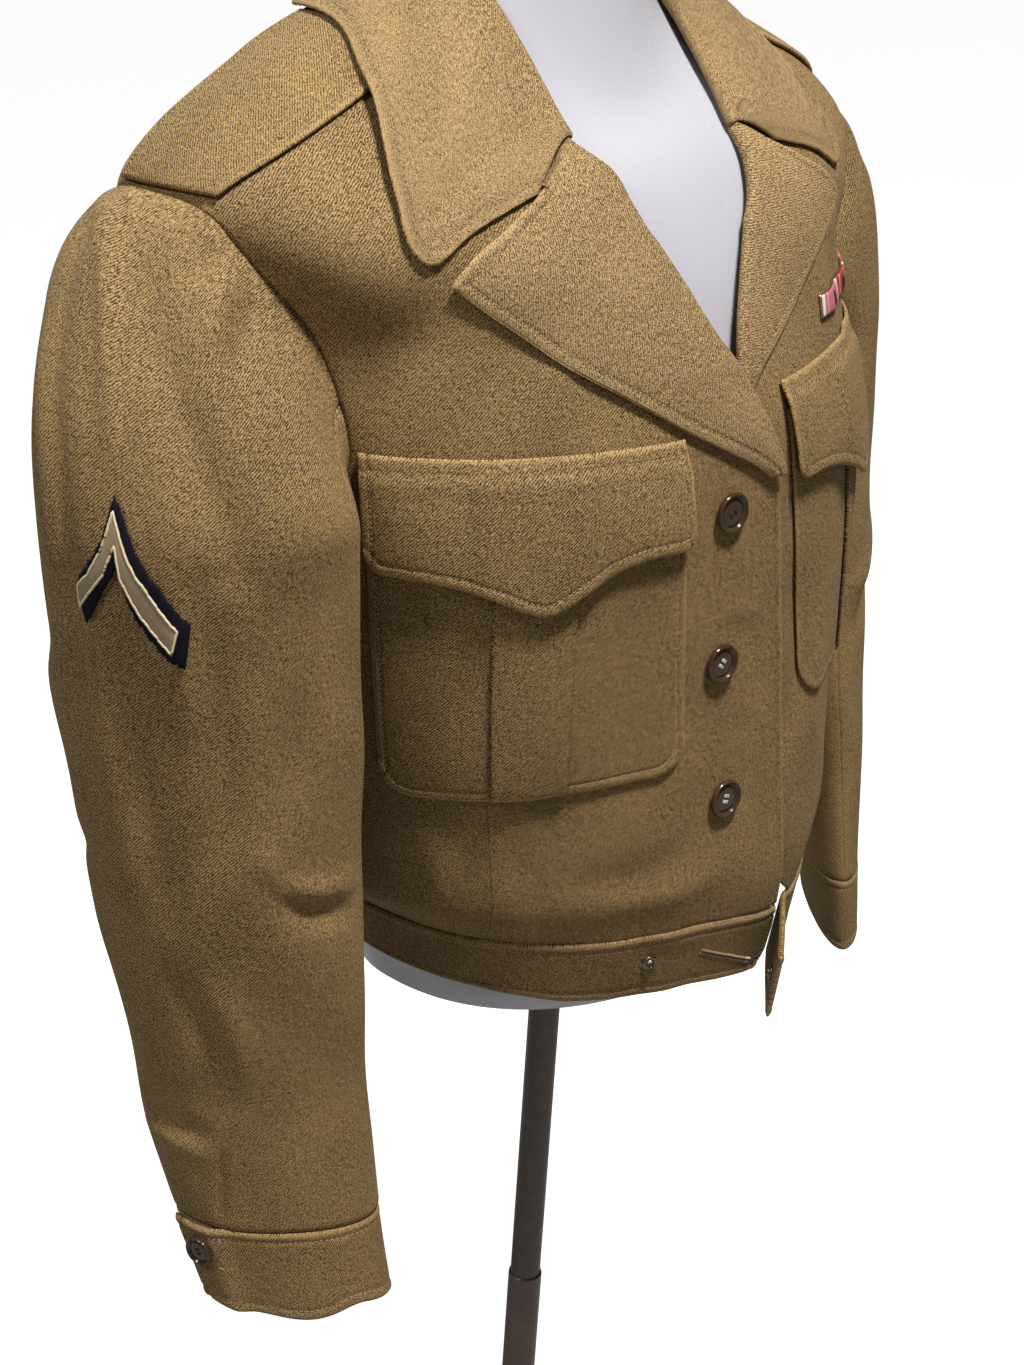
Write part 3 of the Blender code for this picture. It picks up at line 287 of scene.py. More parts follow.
def shellMesh(name, face, inner, grain, paintedEdgeShading=None):
    rows, columns = face.shape[:2]
    count = rows * columns
    index = np.arange(count).reshape(rows, columns)
    a, b, d, c = index[:-1, :-1], index[:-1, 1:], index[1:, 1:], index[1:, :-1]
    outerFaces = np.stack([a, b, d, c], -1).reshape(-1, 4)
    innerFaces = outerFaces[:, ::-1] + count
    loop = np.concatenate([index[0, :-1], index[:-1, -1], index[-1, :0:-1], index[:0:-1, 0]])
    out = np.zeros_like(face)
    out[0] += unit(face[0] - face[1])
    out[-1] += unit(face[-1] - face[-2])
    out[:, 0] += unit(face[:, 0] - face[:, 1])
    out[:, -1] += unit(face[:, -1] - face[:, -2])
    out = unit(out).reshape(-1, 3)[loop]
    faceFlat, innerFlat = face.reshape(-1, 3), inner.reshape(-1, 3)
    thick = np.linalg.norm(faceFlat[loop] - innerFlat[loop], axis=-1, keepdims=True)
    rim = (faceFlat[loop] + innerFlat[loop]) / 2 + out * np.minimum(thick, 2.4) * 0.3
    rimIndex = np.arange(len(loop)) + 2 * count
    after, rimAfter = np.roll(loop, -1), np.roll(rimIndex, -1)
    rims = np.concatenate([np.stack([after, loop, rimIndex, rimAfter], -1),
                           np.stack([rimAfter, rimIndex, loop + count, after + count], -1)])
    faces = np.concatenate([outerFaces, innerFaces, rims])
    points = np.concatenate([faceFlat, innerFlat, rim])
    corners = points[faces]
    volume = np.einsum("ij,ij->i", corners[:, 0], np.cross(corners[:, 1], corners[:, 2])).sum()
    volume += np.einsum("ij,ij->i", corners[:, 0], np.cross(corners[:, 2], corners[:, 3])).sum()
    if volume < 0:
        faces = faces[:, ::-1]
    grains = grain.reshape(-1, 3)
    mesh = meshOf(name, points, faces, np.concatenate([grains, grains, grains[loop]]))
    # the painted edge shading is stored as a point attribute, with none on the inner face
    if paintedEdgeShading is not None:
        paintedEdgeShading = paintedEdgeShading.reshape(-1)
        layer = mesh.attributes.new("paintedEdgeShading", "FLOAT", "POINT")
        layer.data.foreach_set("value", np.concatenate([paintedEdgeShading, paintedEdgeShading * 0, paintedEdgeShading[loop]]).astype(np.float32))
    return mesh


def meshOf(name, points, faces, grains=None):
    mesh = bpy.data.meshes.new(name)
    lifted = (np.asarray(points, float) + (0, 0, jacket["hemHeight"])) * mm
    mesh.from_pydata(lifted.tolist(), [], [tuple(map(int, f)) for f in faces])
    if grains is not None:
        layer = mesh.attributes.new("grain", "FLOAT_VECTOR", "POINT")
        layer.data.foreach_set("vector", np.asarray(grains, np.float32).ravel())
    mesh.shade_smooth()
    return mesh


def place(name, mesh, material, nodes=()):
    piece = bpy.data.objects.new(name, mesh)
    bpy.context.scene.collection.objects.link(piece)
    mesh.materials.append(material)
    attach(piece, "root")
    if nodes:
        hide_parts(*nodes)
    return piece


def gridGrain(face):
    # lengths along the cloth, for its weave
    across = np.linalg.norm(np.diff(face, axis=1), axis=-1)
    upward = np.linalg.norm(np.diff(face, axis=0), axis=-1)
    u = np.concatenate([np.zeros((len(face), 1)), np.cumsum(across, axis=1)], axis=1)
    v = np.concatenate([np.zeros((1, face.shape[1])), np.cumsum(upward, axis=0)], axis=0)
    middle = face.shape[1] // 2
    return np.stack([u - u[:, middle:middle + 1], v, 0 * u], -1)


def clothPiece(name, face, hint, thickness, material, folds=(), wave=0.5, edges=(), grain=None,
               rounding=0.3):
    normals = gridNormals(face)
    if (normals * hint).sum() < 0:
        normals = -normals
    face = face + normals * foldLift(face, folds, wave)[..., None]
    normals = gridNormals(face) * np.sign((gridNormals(face) * hint).sum())
    lift, paintedEdgeShading = np.zeros(face.shape[:-1]), np.zeros(face.shape[:-1])
    # painted edge shading: a painted highlight along each sewn edge, painted shade in the stitch groove, and a
    # painted shadow line along edges given a negative inset
    for edge, inset in edges:
        apart = farFrom(face, borderLine(face, edge))
        if inset < 0:
            paintedEdgeShading = paintedEdgeShading - 1.1 * np.exp(-(apart / 0.9) ** 2)
        if inset > 0:
            lift -= sewing["groove"] * np.exp(-((apart - inset) / 0.8) ** 2)
            lift += sewing["puff"] * np.exp(-((apart - inset * 0.48) / (inset * 0.3)) ** 2)
            paintedEdgeShading = np.maximum(paintedEdgeShading, np.exp(-((apart - 0.9) / 1.3) ** 2))
            paintedEdgeShading = paintedEdgeShading - 0.85 * np.exp(-((apart - inset) / 0.75) ** 2)
    for edge, inset in edges:
        if inset > 0:
            others = [(other, max(size, 0.1)) for other, size in edges if other != edge]
            sew(*stitchLine(face, normals, edge, inset, others))
    sides = {"low": face[0], "high": face[-1], "start": face[:, 0], "end": face[:, -1]}
    rimFar = np.min([farFrom(face, line) for line in sides.values()], axis=0)
    roundOff = thickness * rounding * np.exp(-(rimFar / sewing["rimWidth"]) ** 2)
    thick = thickness - 2 * roundOff + lift
    face = face + normals * (lift - roundOff)[..., None]
    inner = face - normals * np.maximum(thick, sewing["thin"])[..., None]
    grain = gridGrain(face) if grain is None else grain
    piece = place(name, shellMesh(name, face, inner, grain, paintedEdgeShading), material, (name,))
    across = np.linalg.norm(np.diff(face, axis=1), axis=-1).sum(1).max()
    upward = np.median(np.linalg.norm(np.diff(face, axis=0), axis=-1).sum(0))
    quad = np.cross(face[1:, 1:] - face[:-1, :-1], face[1:, :-1] - face[:-1, 1:])
    area = np.linalg.norm(quad, axis=-1).sum() / 2
    upward = max(upward, area / across)
    return piece


# finishes
wool = {"period": 1.28, "slope": 42.0,
        "shade": (0.040, 0.0245, 0.0090), "light": (0.400, 0.262, 0.112),
        "bandShade": (0.047, 0.028, 0.0105), "bandLight": (0.350, 0.228, 0.098),
        # the leaf colours are lighter: partly lighter cloth, partly painted light from above on the collar and
        # lapels
        "leafShade": (0.066, 0.040, 0.016), "leafLight": (0.450, 0.300, 0.140)}


def link(material, start, end):
    material.node_tree.links.new(start, end)


def mathNode(material, operation, first, second=None, clamp=False):
    node = material.node_tree.nodes.new("ShaderNodeMath")
    node.operation, node.use_clamp = operation, clamp
    for socket, value in zip(node.inputs, (first, second)):
        if value is None:
            continue
        if isinstance(value, (int, float)):
            socket.default_value = value
        else:
            link(material, value, socket)
    return node.outputs[0]


def noiseNode(material, vector, scale, detail=2.0, rough=0.5):
    node = material.node_tree.nodes.new("ShaderNodeTexNoise")
    node.inputs["Scale"].default_value = scale
    node.inputs["Detail"].default_value = detail
    node.inputs["Roughness"].default_value = rough
    link(material, vector, node.inputs["Vector"])
    return node.outputs["Fac"]


def mixNode(material, factor, first, second):
    node = material.node_tree.nodes.new("ShaderNodeMix")
    node.data_type = "RGBA"
    for socket, value in ((node.inputs[0], factor), (node.inputs[6], first), (node.inputs[7], second)):
        if isinstance(value, (int, float)):
            socket.default_value = value
        elif isinstance(value, tuple):
            socket.default_value = (*value, 1.0)
        else:
            link(material, value, socket)
    return node.outputs[2]


def bumpNode(material, height, strength, distance):
    node = material.node_tree.nodes.new("ShaderNodeBump")
    node.inputs["Strength"].default_value = strength
    node.inputs["Distance"].default_value = distance
    link(material, height, node.inputs["Height"])
    return node.outputs["Normal"]


def newMaterial(name, colour, roughness, metallic=0.0):
    material = bpy.data.materials.new(name)
    material.use_nodes = True
    shader = material.node_tree.nodes["Principled BSDF"]
    shader.inputs["Base Color"].default_value = (*colour, 1.0)
    shader.inputs["Roughness"].default_value = roughness
    shader.inputs["Metallic"].default_value = metallic
    material.diffuse_color = (*colour, 1.0)
    return material, shader


def grainVector(material):
    node = material.node_tree.nodes.new("ShaderNodeAttribute")
    node.attribute_name = "grain"
    return node.outputs["Vector"]


def objectVector(material):
    return material.node_tree.nodes.new("ShaderNodeTexCoord").outputs["Object"]


def stretched(material, value, low, high):
    node = material.node_tree.nodes.new("ShaderNodeMapRange")
    node.inputs["From Min"].default_value = low
    node.inputs["From Max"].default_value = high
    link(material, value, node.inputs["Value"])
    return node.outputs["Result"]


def weighted(material, parts, start):
    total = start
    for value, weight in parts:
        total = mathNode(material, "ADD", mathNode(material, "MULTIPLY", value, weight), total)
    return mathNode(material, "ADD", total, 0.0, clamp=True)


def twillCloth(name, shade, light, seam=None, ribbing=0.62):
    # heathered serge: diagonal ribs, mixed light and dark yarns and a slow change of tone
    material, shader = newMaterial(name, light, 0.93)
    vector = grainVector(material)
    slope = math.radians(wool["slope"])
    along = dotNode(material, vector, (0.3 * math.cos(slope), 0.3 * math.sin(slope), 0))
    across = dotNode(material, vector, (-math.sin(slope), math.cos(slope), 0))
    ribWay = material.node_tree.nodes.new("ShaderNodeCombineXYZ")
    link(material, along, ribWay.inputs["X"])
    link(material, across, ribWay.inputs["Y"])
    wander = mathNode(material, "MULTIPLY", noiseNode(material, vector, 0.10), 3.0)
    phase = mathNode(material, "MULTIPLY", across, 2 * math.pi / wool["period"])
    ribs = mathNode(material, "SINE", mathNode(material, "ADD", phase, wander))
    ribs = mathNode(material, "ADD", mathNode(material, "MULTIPLY", ribs, 0.5), 0.5)
    yarns = stretched(material, noiseNode(material, ribWay.outputs["Vector"], 1.5, 2.0, 0.6), 0.34, 0.66)
    specks = stretched(material, noiseNode(material, vector, 1.35, 2.0, 0.6), 0.36, 0.64)
    mottle = stretched(material, noiseNode(material, vector, 0.24, 2.0), 0.3, 0.7)
    slow = stretched(material, noiseNode(material, vector, 0.016, 3.0), 0.3, 0.7)
    # painted edge shading from the pieces: a painted highlight on the edges, painted shade in stitch grooves and
    # beside the pleats
    paintedEdgeShadingNode = material.node_tree.nodes.new("ShaderNodeAttribute")
    paintedEdgeShadingNode.attribute_name = "paintedEdgeShading"
    paintedEdgeShading = paintedEdgeShadingNode.outputs["Fac"]
    tone = weighted(material, [(yarns, 0.95), (specks, 1.68 - ribbing), (ribs, ribbing), (mottle, 0.24),
                              (slow, 0.20), (paintedEdgeShading, 0.34)], -1.10)
    height = weighted(material, [(ribs, 0.6), (yarns, 0.25), (specks, 0.15)], 0.0)
    if seam:
        groove = seamGroove(material, vector, seam)
        # the groove also darkens the tone: painted shade in the seam
        tone = mathNode(material, "SUBTRACT", tone, mathNode(material, "MULTIPLY", groove, 0.30), clamp=True)
        height = mathNode(material, "SUBTRACT", height, mathNode(material, "MULTIPLY", groove, 1.5))
    link(material, mixNode(material, tone, shade, light), shader.inputs["Base Color"])
    link(material, bumpNode(material, height, 0.5, 0.0003), shader.inputs["Normal"])
    shader.inputs["Sheen Weight"].default_value = 0.05
    shader.inputs["Sheen Roughness"].default_value = 0.5
    shader.inputs["Sheen Tint"].default_value = (0.72, 0.56, 0.34, 1)
    shader.inputs["Specular IOR Level"].default_value = 0.12
    return material


def dotNode(material, vector, way):
    node = material.node_tree.nodes.new("ShaderNodeVectorMath")
    node.operation = "DOT_PRODUCT"
    node.inputs[1].default_value = way
    link(material, vector, node.inputs[0])
    return node.outputs["Value"]


def seamGroove(material, vector, seam):
    # a pressed seam that runs up the cloth at a given arc, below a given height
    split = material.node_tree.nodes.new("ShaderNodeSeparateXYZ")
    link(material, vector, split.inputs[0])
    away = mathNode(material, "ABSOLUTE", mathNode(material, "SUBTRACT", split.outputs["X"], seam["arc"]))
    line = mathNode(material, "SUBTRACT", 1.0, mathNode(material, "DIVIDE", away, 0.8), clamp=True)
    return mathNode(material, "MULTIPLY", line, mathNode(material, "LESS_THAN", split.outputs["Y"], seam["top"]))


serge = twillCloth("olive wool serge", wool["shade"], wool["light"])
bandSerge = twillCloth("olive wool serge bands", wool["bandShade"], wool["bandLight"])
# collar and lapels: lighter cloth with painted light from above
leafSergeWithPaintedLight = twillCloth("lighter wool serge", wool["leafShade"], wool["leafLight"], None, 0.42)
pressedSeam = {"arc": 153.0, "top": 172.0}
frontSerge = {side: twillCloth("olive wool serge front %d" % (2 + side), wool["shade"], wool["light"],
                               {"arc": side * pressedSeam["arc"], "top": pressedSeam["top"]})
              for side in (right, left)}
print("finishes for the cloth are made")

# the body's folds: depth width, then the way as (arc, height) on a front
frontFolds = {
    right: [
        (-2.2, 15, [(196, 372), (178, 398), (150, 424), (118, 446)]),
        (-1.6, 12, [(214, 330), (206, 372), (196, 412)]),
        (1.4, 11, [(118, 352), (104, 384), (88, 412)]),
        (-2.0, 12, [(28, 106), (70, 92), (112, 96)]),
        (1.8, 10, [(10, 82), (52, 74), (90, 78)]),
        (-1.7, 9, [(168, 132), (162, 104), (166, 78)]),
        (1.5, 8, [(188, 128), (184, 100), (186, 76)]),
        (-1.2, 8, [(138, 116), (132, 96), (128, 72)]),
        (-0.9, 4.5, [(10, 232), (-4, 226), (-14, 214)]),
        (0.8, 4, [(8, 240), (-6, 238), (-16, 230)]),
        (-0.9, 4.5, [(8, 172), (-6, 168), (-16, 160)]),
        (-0.8, 4.5, [(2, 292), (-12, 284), (-18, 272)]),
        (-1.2, 9, [(26, 178), (24, 140), (30, 108)]),
        (-1.5, 12, [(232, 250), (226, 200), (230, 150)]),
    ],
    left: [
        (-2.0, 14, [(190, 372), (170, 402), (140, 428)]),
        (1.6, 9, [(128, 352), (112, 380), (96, 408)]),
        (-1.8, 9, [(146, 356), (132, 392), (112, 430)]),
        (-2.2, 12, [(40, 120), (64, 180), (60, 240)]),
        (-2.0, 11, [(150, 128), (156, 100), (150, 76)]),
        (1.6, 9, [(110, 122), (116, 98), (112, 74)]),
        (-1.4, 8, [(190, 118), (186, 96), (190, 76)]),
        (1.8, 8, [(92, 300), (86, 200), (96, 110)]),
    ],
}
# the back's folds: depth width, then the way as (angle, level)
backFolds = [
    (-2.4, 16, [(150, 7.3), (165, 7.0), (180, 6.95)]),
    (-2.0, 14, [(212, 7.2), (198, 6.85), (184, 6.8)]),
    (-2.2, 13, [(124, 6.2), (136, 5.4), (150, 4.9)]),
    (-2.0, 13, [(236, 6.3), (224, 5.5), (212, 5.1)]),
    (2.0, 9, [(140, 1.0), (138, 1.8), (144, 2.9)]),
    (-1.8, 9, [(152, 1.0), (154, 1.9), (150, 2.6)]),
    (1.9, 8, [(168, 1.0), (166, 1.7), (170, 2.3)]),
    (-2.0, 9, [(181, 1.0), (184, 2.0), (180, 3.1)]),
    (1.7, 8, [(196, 1.0), (198, 1.8), (194, 2.4)]),
    (-1.9, 9, [(211, 1.0), (208, 1.9), (213, 2.8)]),
    (1.8, 9, [(226, 1.0), (230, 1.7), (225, 2.7)]),
    (-1.5, 8, [(108, 1.0), (110, 1.8), (106, 2.5)]),
    (-1.5, 8, [(250, 1.0), (247, 1.9), (252, 2.6)]),
]


def frontWays(side):
    ways = []
    for depth, width, places in frontFolds[side]:
        arc, height = np.array(places, float).T
        ways.append(foldWay(onFront(side, arc, height, 0), depth, width))
    return ways


foldsOn = {side: frontWays(side) for side in (right, left)}
foldsBehind = [foldWay(bodyPoint(*np.array(places, float).T, jacket["wool"]), depth, width)
               for depth, width, places in backFolds]

# fronts and back
panels = {"lowRows": 92, "headRows": 84, "topRows": 24, "spacing": 3.3, "frontWidth": 235, "backColumns": 130,
          "wave": 0.9}
armholeFine = spread(armholeRows, 241)


def armhole(turn):
    return (np.interp(turn, armholeFine[:, 0], armholeFine[:, 1]),
            np.interp(turn, armholeFine[:, 0], armholeFine[:, 2]))


def panelSeam(turns, gap):
    low = np.linspace(1.0, armhole(180)[1], panels["lowRows"] + 1)[:-1]
    top = np.linspace(armhole(0)[1], jacket["neckLevel"], panels["topRows"] + 1)[1:]
    angle, level = armhole(turns)
    angles = np.concatenate([np.full(len(low), jacket["sideSeam"]), angle,
                             np.full(len(top), jacket["sideSeam"] - 1)])
    return angles + gap, np.concatenate([low, level, top])


def panelMiddle(rows):
    low = np.linspace(1.0, 5.6, panels["lowRows"] + 1)[:-1]
    along = np.linspace(5.6, 8.5, rows - panels["lowRows"] - panels["topRows"] + 1)[:-1]
    return np.concatenate([low, along, np.linspace(8.5, jacket["neckLevel"], panels["topRows"])])


def bodyGrain(angles, levels, points):
    return np.stack([arcOf(angles, levels), points[..., 2], 0 * levels], -1)


def makeFront(side, name):
    seam, seamLevels = panelSeam(np.linspace(180, 0, panels["headRows"]), -0.1)
    edgeLevels = panelMiddle(len(seam))
    fine = spread(frontEdge, 281)
    edge = np.interp(edgeLevels, fine[:, 0], fine[:, 1 if side == right else 2])
    share = steps(panels["frontWidth"], panels["spacing"], far=True)
    angles = side * seam[:, None] * (1 - share) + edge[:, None] * share
    levels = seamLevels[:, None] * (1 - share) + edgeLevels[:, None] * share
    face = frontPoint(side, angles, levels, jacket["wool"])
    hint = face - frontPoint(side, angles, levels, 0)
    edges = [("end", sewing["inset"])] if side == right else [("end", 0)]
    return clothPiece(name, face, hint, jacket["wool"], frontSerge[side], foldsOn[side],
                      panels["wave"], edges, bodyGrain(angles, levels, face))


def makeBack():
    seam, seamLevels = panelSeam(360 - np.linspace(180, 0, panels["headRows"]), 0.1)
    middle = panelMiddle(len(seam))
    line = np.linspace(0, 1, panels["backColumns"])
    share = np.abs(2 * line - 1)
    angles = seam[:, None] * (1 - line) + (360 - seam)[:, None] * line
    levels = seamLevels[:, None] * share + middle[:, None] * (1 - share)
    face = bodyPoint(angles, levels, jacket["wool"])
    hint = face - bodyPoint(angles, levels)
    clothPiece("back", face, hint, jacket["wool"], serge, foldsBehind, panels["wave"],
               (), bodyGrain(angles, levels, face))


frontRight = makeFront(right, "front_right")
makeFront(left, "front_left")
makeBack()
print("fronts and back are made")

# waistband
waistband = {"levels": (0.0, 0.97), "rightEnds": (10.6, 13.9, 14.4, 14.0), "wave": 0.7, "inset": 5.5,
             "height": 50, "rightLength": 250, "backColumns": 150, "leftColumns": 64, "endGap": 0.1,
             "tabAngle": 23.4, "tabLength": 60.0, "tabBend": 11.0, "tabHeading": 41.0, "tabSag": 9.0}
# the band's folds: depth width, then angles and levels of the way
bandCreases = [
    (-1.1, 8, (-60, -57, -54), (0.0, 0.4, 0.9)), (1.0, 9, (-38, -40, -39), (0.0, 0.4, 0.9)),
    (-0.9, 7, (-20, -14, -6), (0.75, 0.6, 0.55)), (1.0, 8, (128, 131, 130), (0.0, 0.5, 0.9)),
    (-1.2, 9, (150, 148, 151), (0.0, 0.5, 0.9)), (1.0, 8, (176, 178, 175), (0.0, 0.5, 0.9)),
    (-1.1, 8, (205, 207, 204), (0.0, 0.5, 0.9)), (1.0, 8, (232, 230, 233), (0.0, 0.5, 0.9)),
    (-1.0, 8, (72, 70, 72), (0.0, 0.5, 0.9)), (1.0, 8, (48, 50, 47), (0.0, 0.5, 0.9))]
bandFolds = [foldWay(bodyPoint(np.array(angles, float), np.array(levels, float), jacket["band"]), depth, width)
             for depth, width, angles, levels in bandCreases]


def bandRows():
    low, high = waistband["levels"]
    return low + (high - low) * steps(waistband["height"], 2.6, near=True, far=True)


def bandPiece(name, face, hint, ends=()):
    edges = [(edge, waistband["inset"]) for edge in ("low", "high", *ends)]
    clothPiece(name, face, hint, jacket["band"], bandSerge, bandFolds, waistband["wave"], edges)


def makeRightBand():
    rows = bandRows()
    ends = np.interp(rows, (0.0, 0.33, 0.66, 0.97), waistband["rightEnds"])
    share = steps(waistband["rightLength"], 3.0, far=True)
    angles = -(jacket["sideSeam"] - waistband["endGap"]) * (1 - share) + ends[:, None] * share
    levels = np.repeat(rows[:, None], len(share), axis=1)
    face = frontPoint(right, angles, levels, jacket["band"])
    bandPiece("waistband_right", face, face - frontPoint(right, angles, levels, 0), ("end",))


def makeBackBand():
    line = np.linspace(0, 1, waistband["backColumns"])
    start = jacket["sideSeam"] + waistband["endGap"]
    angles = start * (1 - line) + (360 - start) * line
    angles, levels = np.meshgrid(angles, bandRows())
    face = bodyPoint(angles, levels, jacket["band"])
    bandPiece("waistband_back", face, face - bodyPoint(angles, levels))


def makeLeftBand():
    # its free end stands forward from the body
    heading = math.radians(waistband["tabHeading"])
    turns = heading * np.linspace(0.04, 1, 14)
    bend = waistband["tabBend"] * np.stack([-np.sin(turns), -(1 - np.cos(turns))], -1)
    reach = waistband["tabLength"] * steps(60, 2.6, far=True)[1:, None]
    plan = np.concatenate([bend, bend[-1] + reach * (-math.cos(heading), -math.sin(heading))])
    angles = np.linspace(jacket["sideSeam"] - waistband["endGap"], waistband["tabAngle"], waistband["leftColumns"])
    onBody = np.stack([frontPoint(left, angles, level, jacket["band"]) for level in bandRows()])
    loose = np.repeat(onBody[:, -1:], len(plan), axis=1)
    loose[..., :2] += plan
    loose[..., 2] -= waistband["tabSag"] * np.linspace(0, 1, len(plan)) ** 2
    face = np.concatenate([onBody, loose], axis=1)
    hint = gridNormals(face) * np.sign((gridNormals(face)[:, :60] * (onBody[:, :60] * (1, 1, 0))).sum())
    bandPiece("waistband_left", face, hint, ("end",))
    return face, hint


makeRightBand()
makeBackBand()
bandLeftFace, bandLeftHint = makeLeftBand()
print("waistband is made")

# lapels: rows up from the break, as rollAngle rollLevel edgeAngle edgeLevel
lapels = {
    "corner": {right: 6, left: 5}, "grain": {right: 127.0, left: 46.0}, "degreesPerMm": 0.27,
    "turnRadius": 3.85, "wave": 0.45,
    "rise": [(7.2,), (7.7,), (7.3,), (6.6,), (6.0,)],
    right: [(8.1, 5.60, 5.2, 5.62), (5.7, 5.90, -1.5, 5.93), (3.3, 6.20, -9.9, 6.24), (0.7, 6.52, -18.0, 6.56),
            (-2.3, 6.95, -27.2, 6.92), (-4.0, 7.40, -33.0, 7.30), (-5.2, 7.85, -36.6, 7.62),
            (-7.5, 8.30, -31.0, 7.88), (-11.4, 8.72, -26.0, 8.13), (-20.4, 9.085, -22.3, 8.452)],
    left: [(1.0, 6.28, 2.4, 6.20), (2.8, 6.55, 6.0, 6.50), (4.6, 6.95, 16.5, 6.92), (5.9, 7.22, 23.5, 7.20),
           (7.3, 7.55, 29.0, 7.44), (8.8, 7.85, 32.8, 7.64), (12.2, 8.16, 29.0, 7.92), (15.8, 8.42, 25.5, 8.16),
           (22.0, 8.78, 23.9, 8.435)],
}
turnSteps = np.radians(np.linspace(-90, 90, 11))
gorgeRows = ((1.0, 0.8), (2.4, 1.8), (4.0, 2.6))  # reach and drop of the rows past the gorge seam


def underCollar(grid, away):
    # a short way on past the gorge seam, and a little lower
    onward = unit(grid[-1] - grid[-6]) * ease(np.linspace(1, 0, grid.shape[1]) / 0.3)[:, None]
    down = unit(away[-1])
    more = [grid[-1] + onward * reach - down * drop for reach, drop in gorgeRows]
    return np.concatenate([grid, np.array(more)])


def makeLapel(side, name):
    table, corner = lapels[side], lapels["corner"][side]
    rows = np.concatenate([spread(table[:corner + 1], corner * 11 + 1)[:-1],
                           spread(table[corner:], (len(table) - 1 - corner) * 13 + 1)])
    rollAngle, rollLevel, edgeAngle, edgeLevel = rows.T
    share = steps(85, 2.6, far=True)[1:]
    rise = np.interp(share, np.linspace(0, 1, 25), spread(lapels["rise"], 25)[:, 0])
    grids = []
    reach = np.linspace(0, 1, len(rows))[:, None]
    dip = 2.0 * ease((reach - 0.88) / 0.12) + (3.0 * ease((0.12 - reach) / 0.12) if side == left else 0)
    radius = lapels["turnRadius"]
    turnLevel = np.repeat(rollLevel[:, None], len(turnSteps), axis=1)
    leafAngle = rollAngle[:, None] * (1 - share) + edgeAngle[:, None] * share
    leafLevel = rollLevel[:, None] * (1 - share) + edgeLevel[:, None] * share
    levels = np.concatenate([turnLevel, leafLevel], axis=1)
    for across, drop in ((radius, 0), (radius - jacket["leaf"], jacket["leaf"])):
        turnAngle = rollAngle[:, None] - side * lapels["degreesPerMm"] * (across * np.cos(turnSteps) + 0.5)
        turnOut = np.repeat((radius - 0.4 + across * np.sin(turnSteps))[None], len(rows), axis=0)
        leafOut = np.repeat((rise - drop)[None], len(rows), axis=0)
        angles = np.concatenate([turnAngle, leafAngle], axis=1)
        grids.append(frontPoint(side, angles, levels, np.concatenate([turnOut, leafOut], axis=1) - dip))
    face, below = (underCollar(grid, grids[0] - grids[1]) for grid in grids)
    angles, levels = (np.concatenate([field] + [field[-1:]] * len(gorgeRows)) for field in (angles, levels))
    lean = np.radians(lapels["grain"][side])
    across = np.linalg.norm(np.diff(face, axis=1), axis=-1)
    reached = np.concatenate([np.zeros((len(face), 1)), np.cumsum(across, axis=1)], axis=1)
    arc, height = arcOf(angles[:, :1], levels[:, :1]) + side * reached, face[..., 2]
    grain = np.stack([arc * np.sin(lean) - height * np.cos(lean),
                      arc * np.cos(lean) + height * np.sin(lean), 0 * arc], -1)
    clothPiece(name, face, face - below, jacket["leaf"], leafSergeWithPaintedLight, (), lapels["wave"],
               [("end", sewing["inset"])], grain)


makeLapel(right, "lapel_right")
makeLapel(left, "lapel_left")

# collar: sections from the notch to the centre back,
# as seamAngle seamLevel stand lean edgeAngle edgeLevel edgeOut
collarParts = {
    "rows": 110, "wave": 0.5, "bulge": 2.0,
    right: [(20.6, 9.10, 0, 0.00, 22.4, 8.46, 5.8), (23.0, 9.18, 2, 0.08, 30.0, 8.13, 5.8),
            (26.2, 9.28, 4, 0.20, 38.4, 7.80, 6.5), (32.0, 9.44, 8, 0.35, 44.0, 8.25, 9.7),
            (41.0, 9.66, 13, 0.50, 54.5, 8.74, 12.1), (53.0, 9.92, 18, 0.62, 65.0, 9.08, 11.4),
            (70.0, 10.0, 23, 0.72, 76.0, 9.32, 10.6), (90.0, 10.0, 27, 0.80, 92.0, 9.42, 10.6),
            (112.0, 10.0, 30, 0.86, 112.0, 9.42, 9.4), (135.0, 10.0, 32, 0.90, 135.0, 9.38, 7.0),
            (158.0, 10.0, 33, 0.92, 158.0, 9.34, 6.2), (180.0, 10.0, 33, 0.92, 180.0, 9.33, 6.2)],
    left: [(22.2, 8.79, 0, 0.00, 24.0, 8.44, 5.8), (25.0, 8.91, 1, 0.05, 29.0, 8.20, 5.8),
           (28.6, 9.05, 2, 0.12, 35.4, 7.88, 6.0), (34.6, 9.25, 4, 0.22, 42.0, 8.28, 7.4),
           (44.5, 9.53, 6, 0.45, 53.0, 8.74, 10.4), (56.5, 9.83, 9, 0.75, 65.0, 9.08, 11.4),
           (72.0, 10.0, 12, 0.95, 76.0, 9.32, 11.6), (90.0, 10.0, 17, 1.00, 92.0, 9.42, 11.2),
           (112.0, 10.0, 24, 0.96, 112.0, 9.42, 9.4), (135.0, 10.0, 32, 0.90, 135.0, 9.38, 7.0),
           (158.0, 10.0, 33, 0.92, 158.0, 9.34, 6.2), (180.0, 10.0, 33, 0.92, 180.0, 9.33, 6.2)],
}
fallShares = steps(75, 2.7, far=True)[1:]


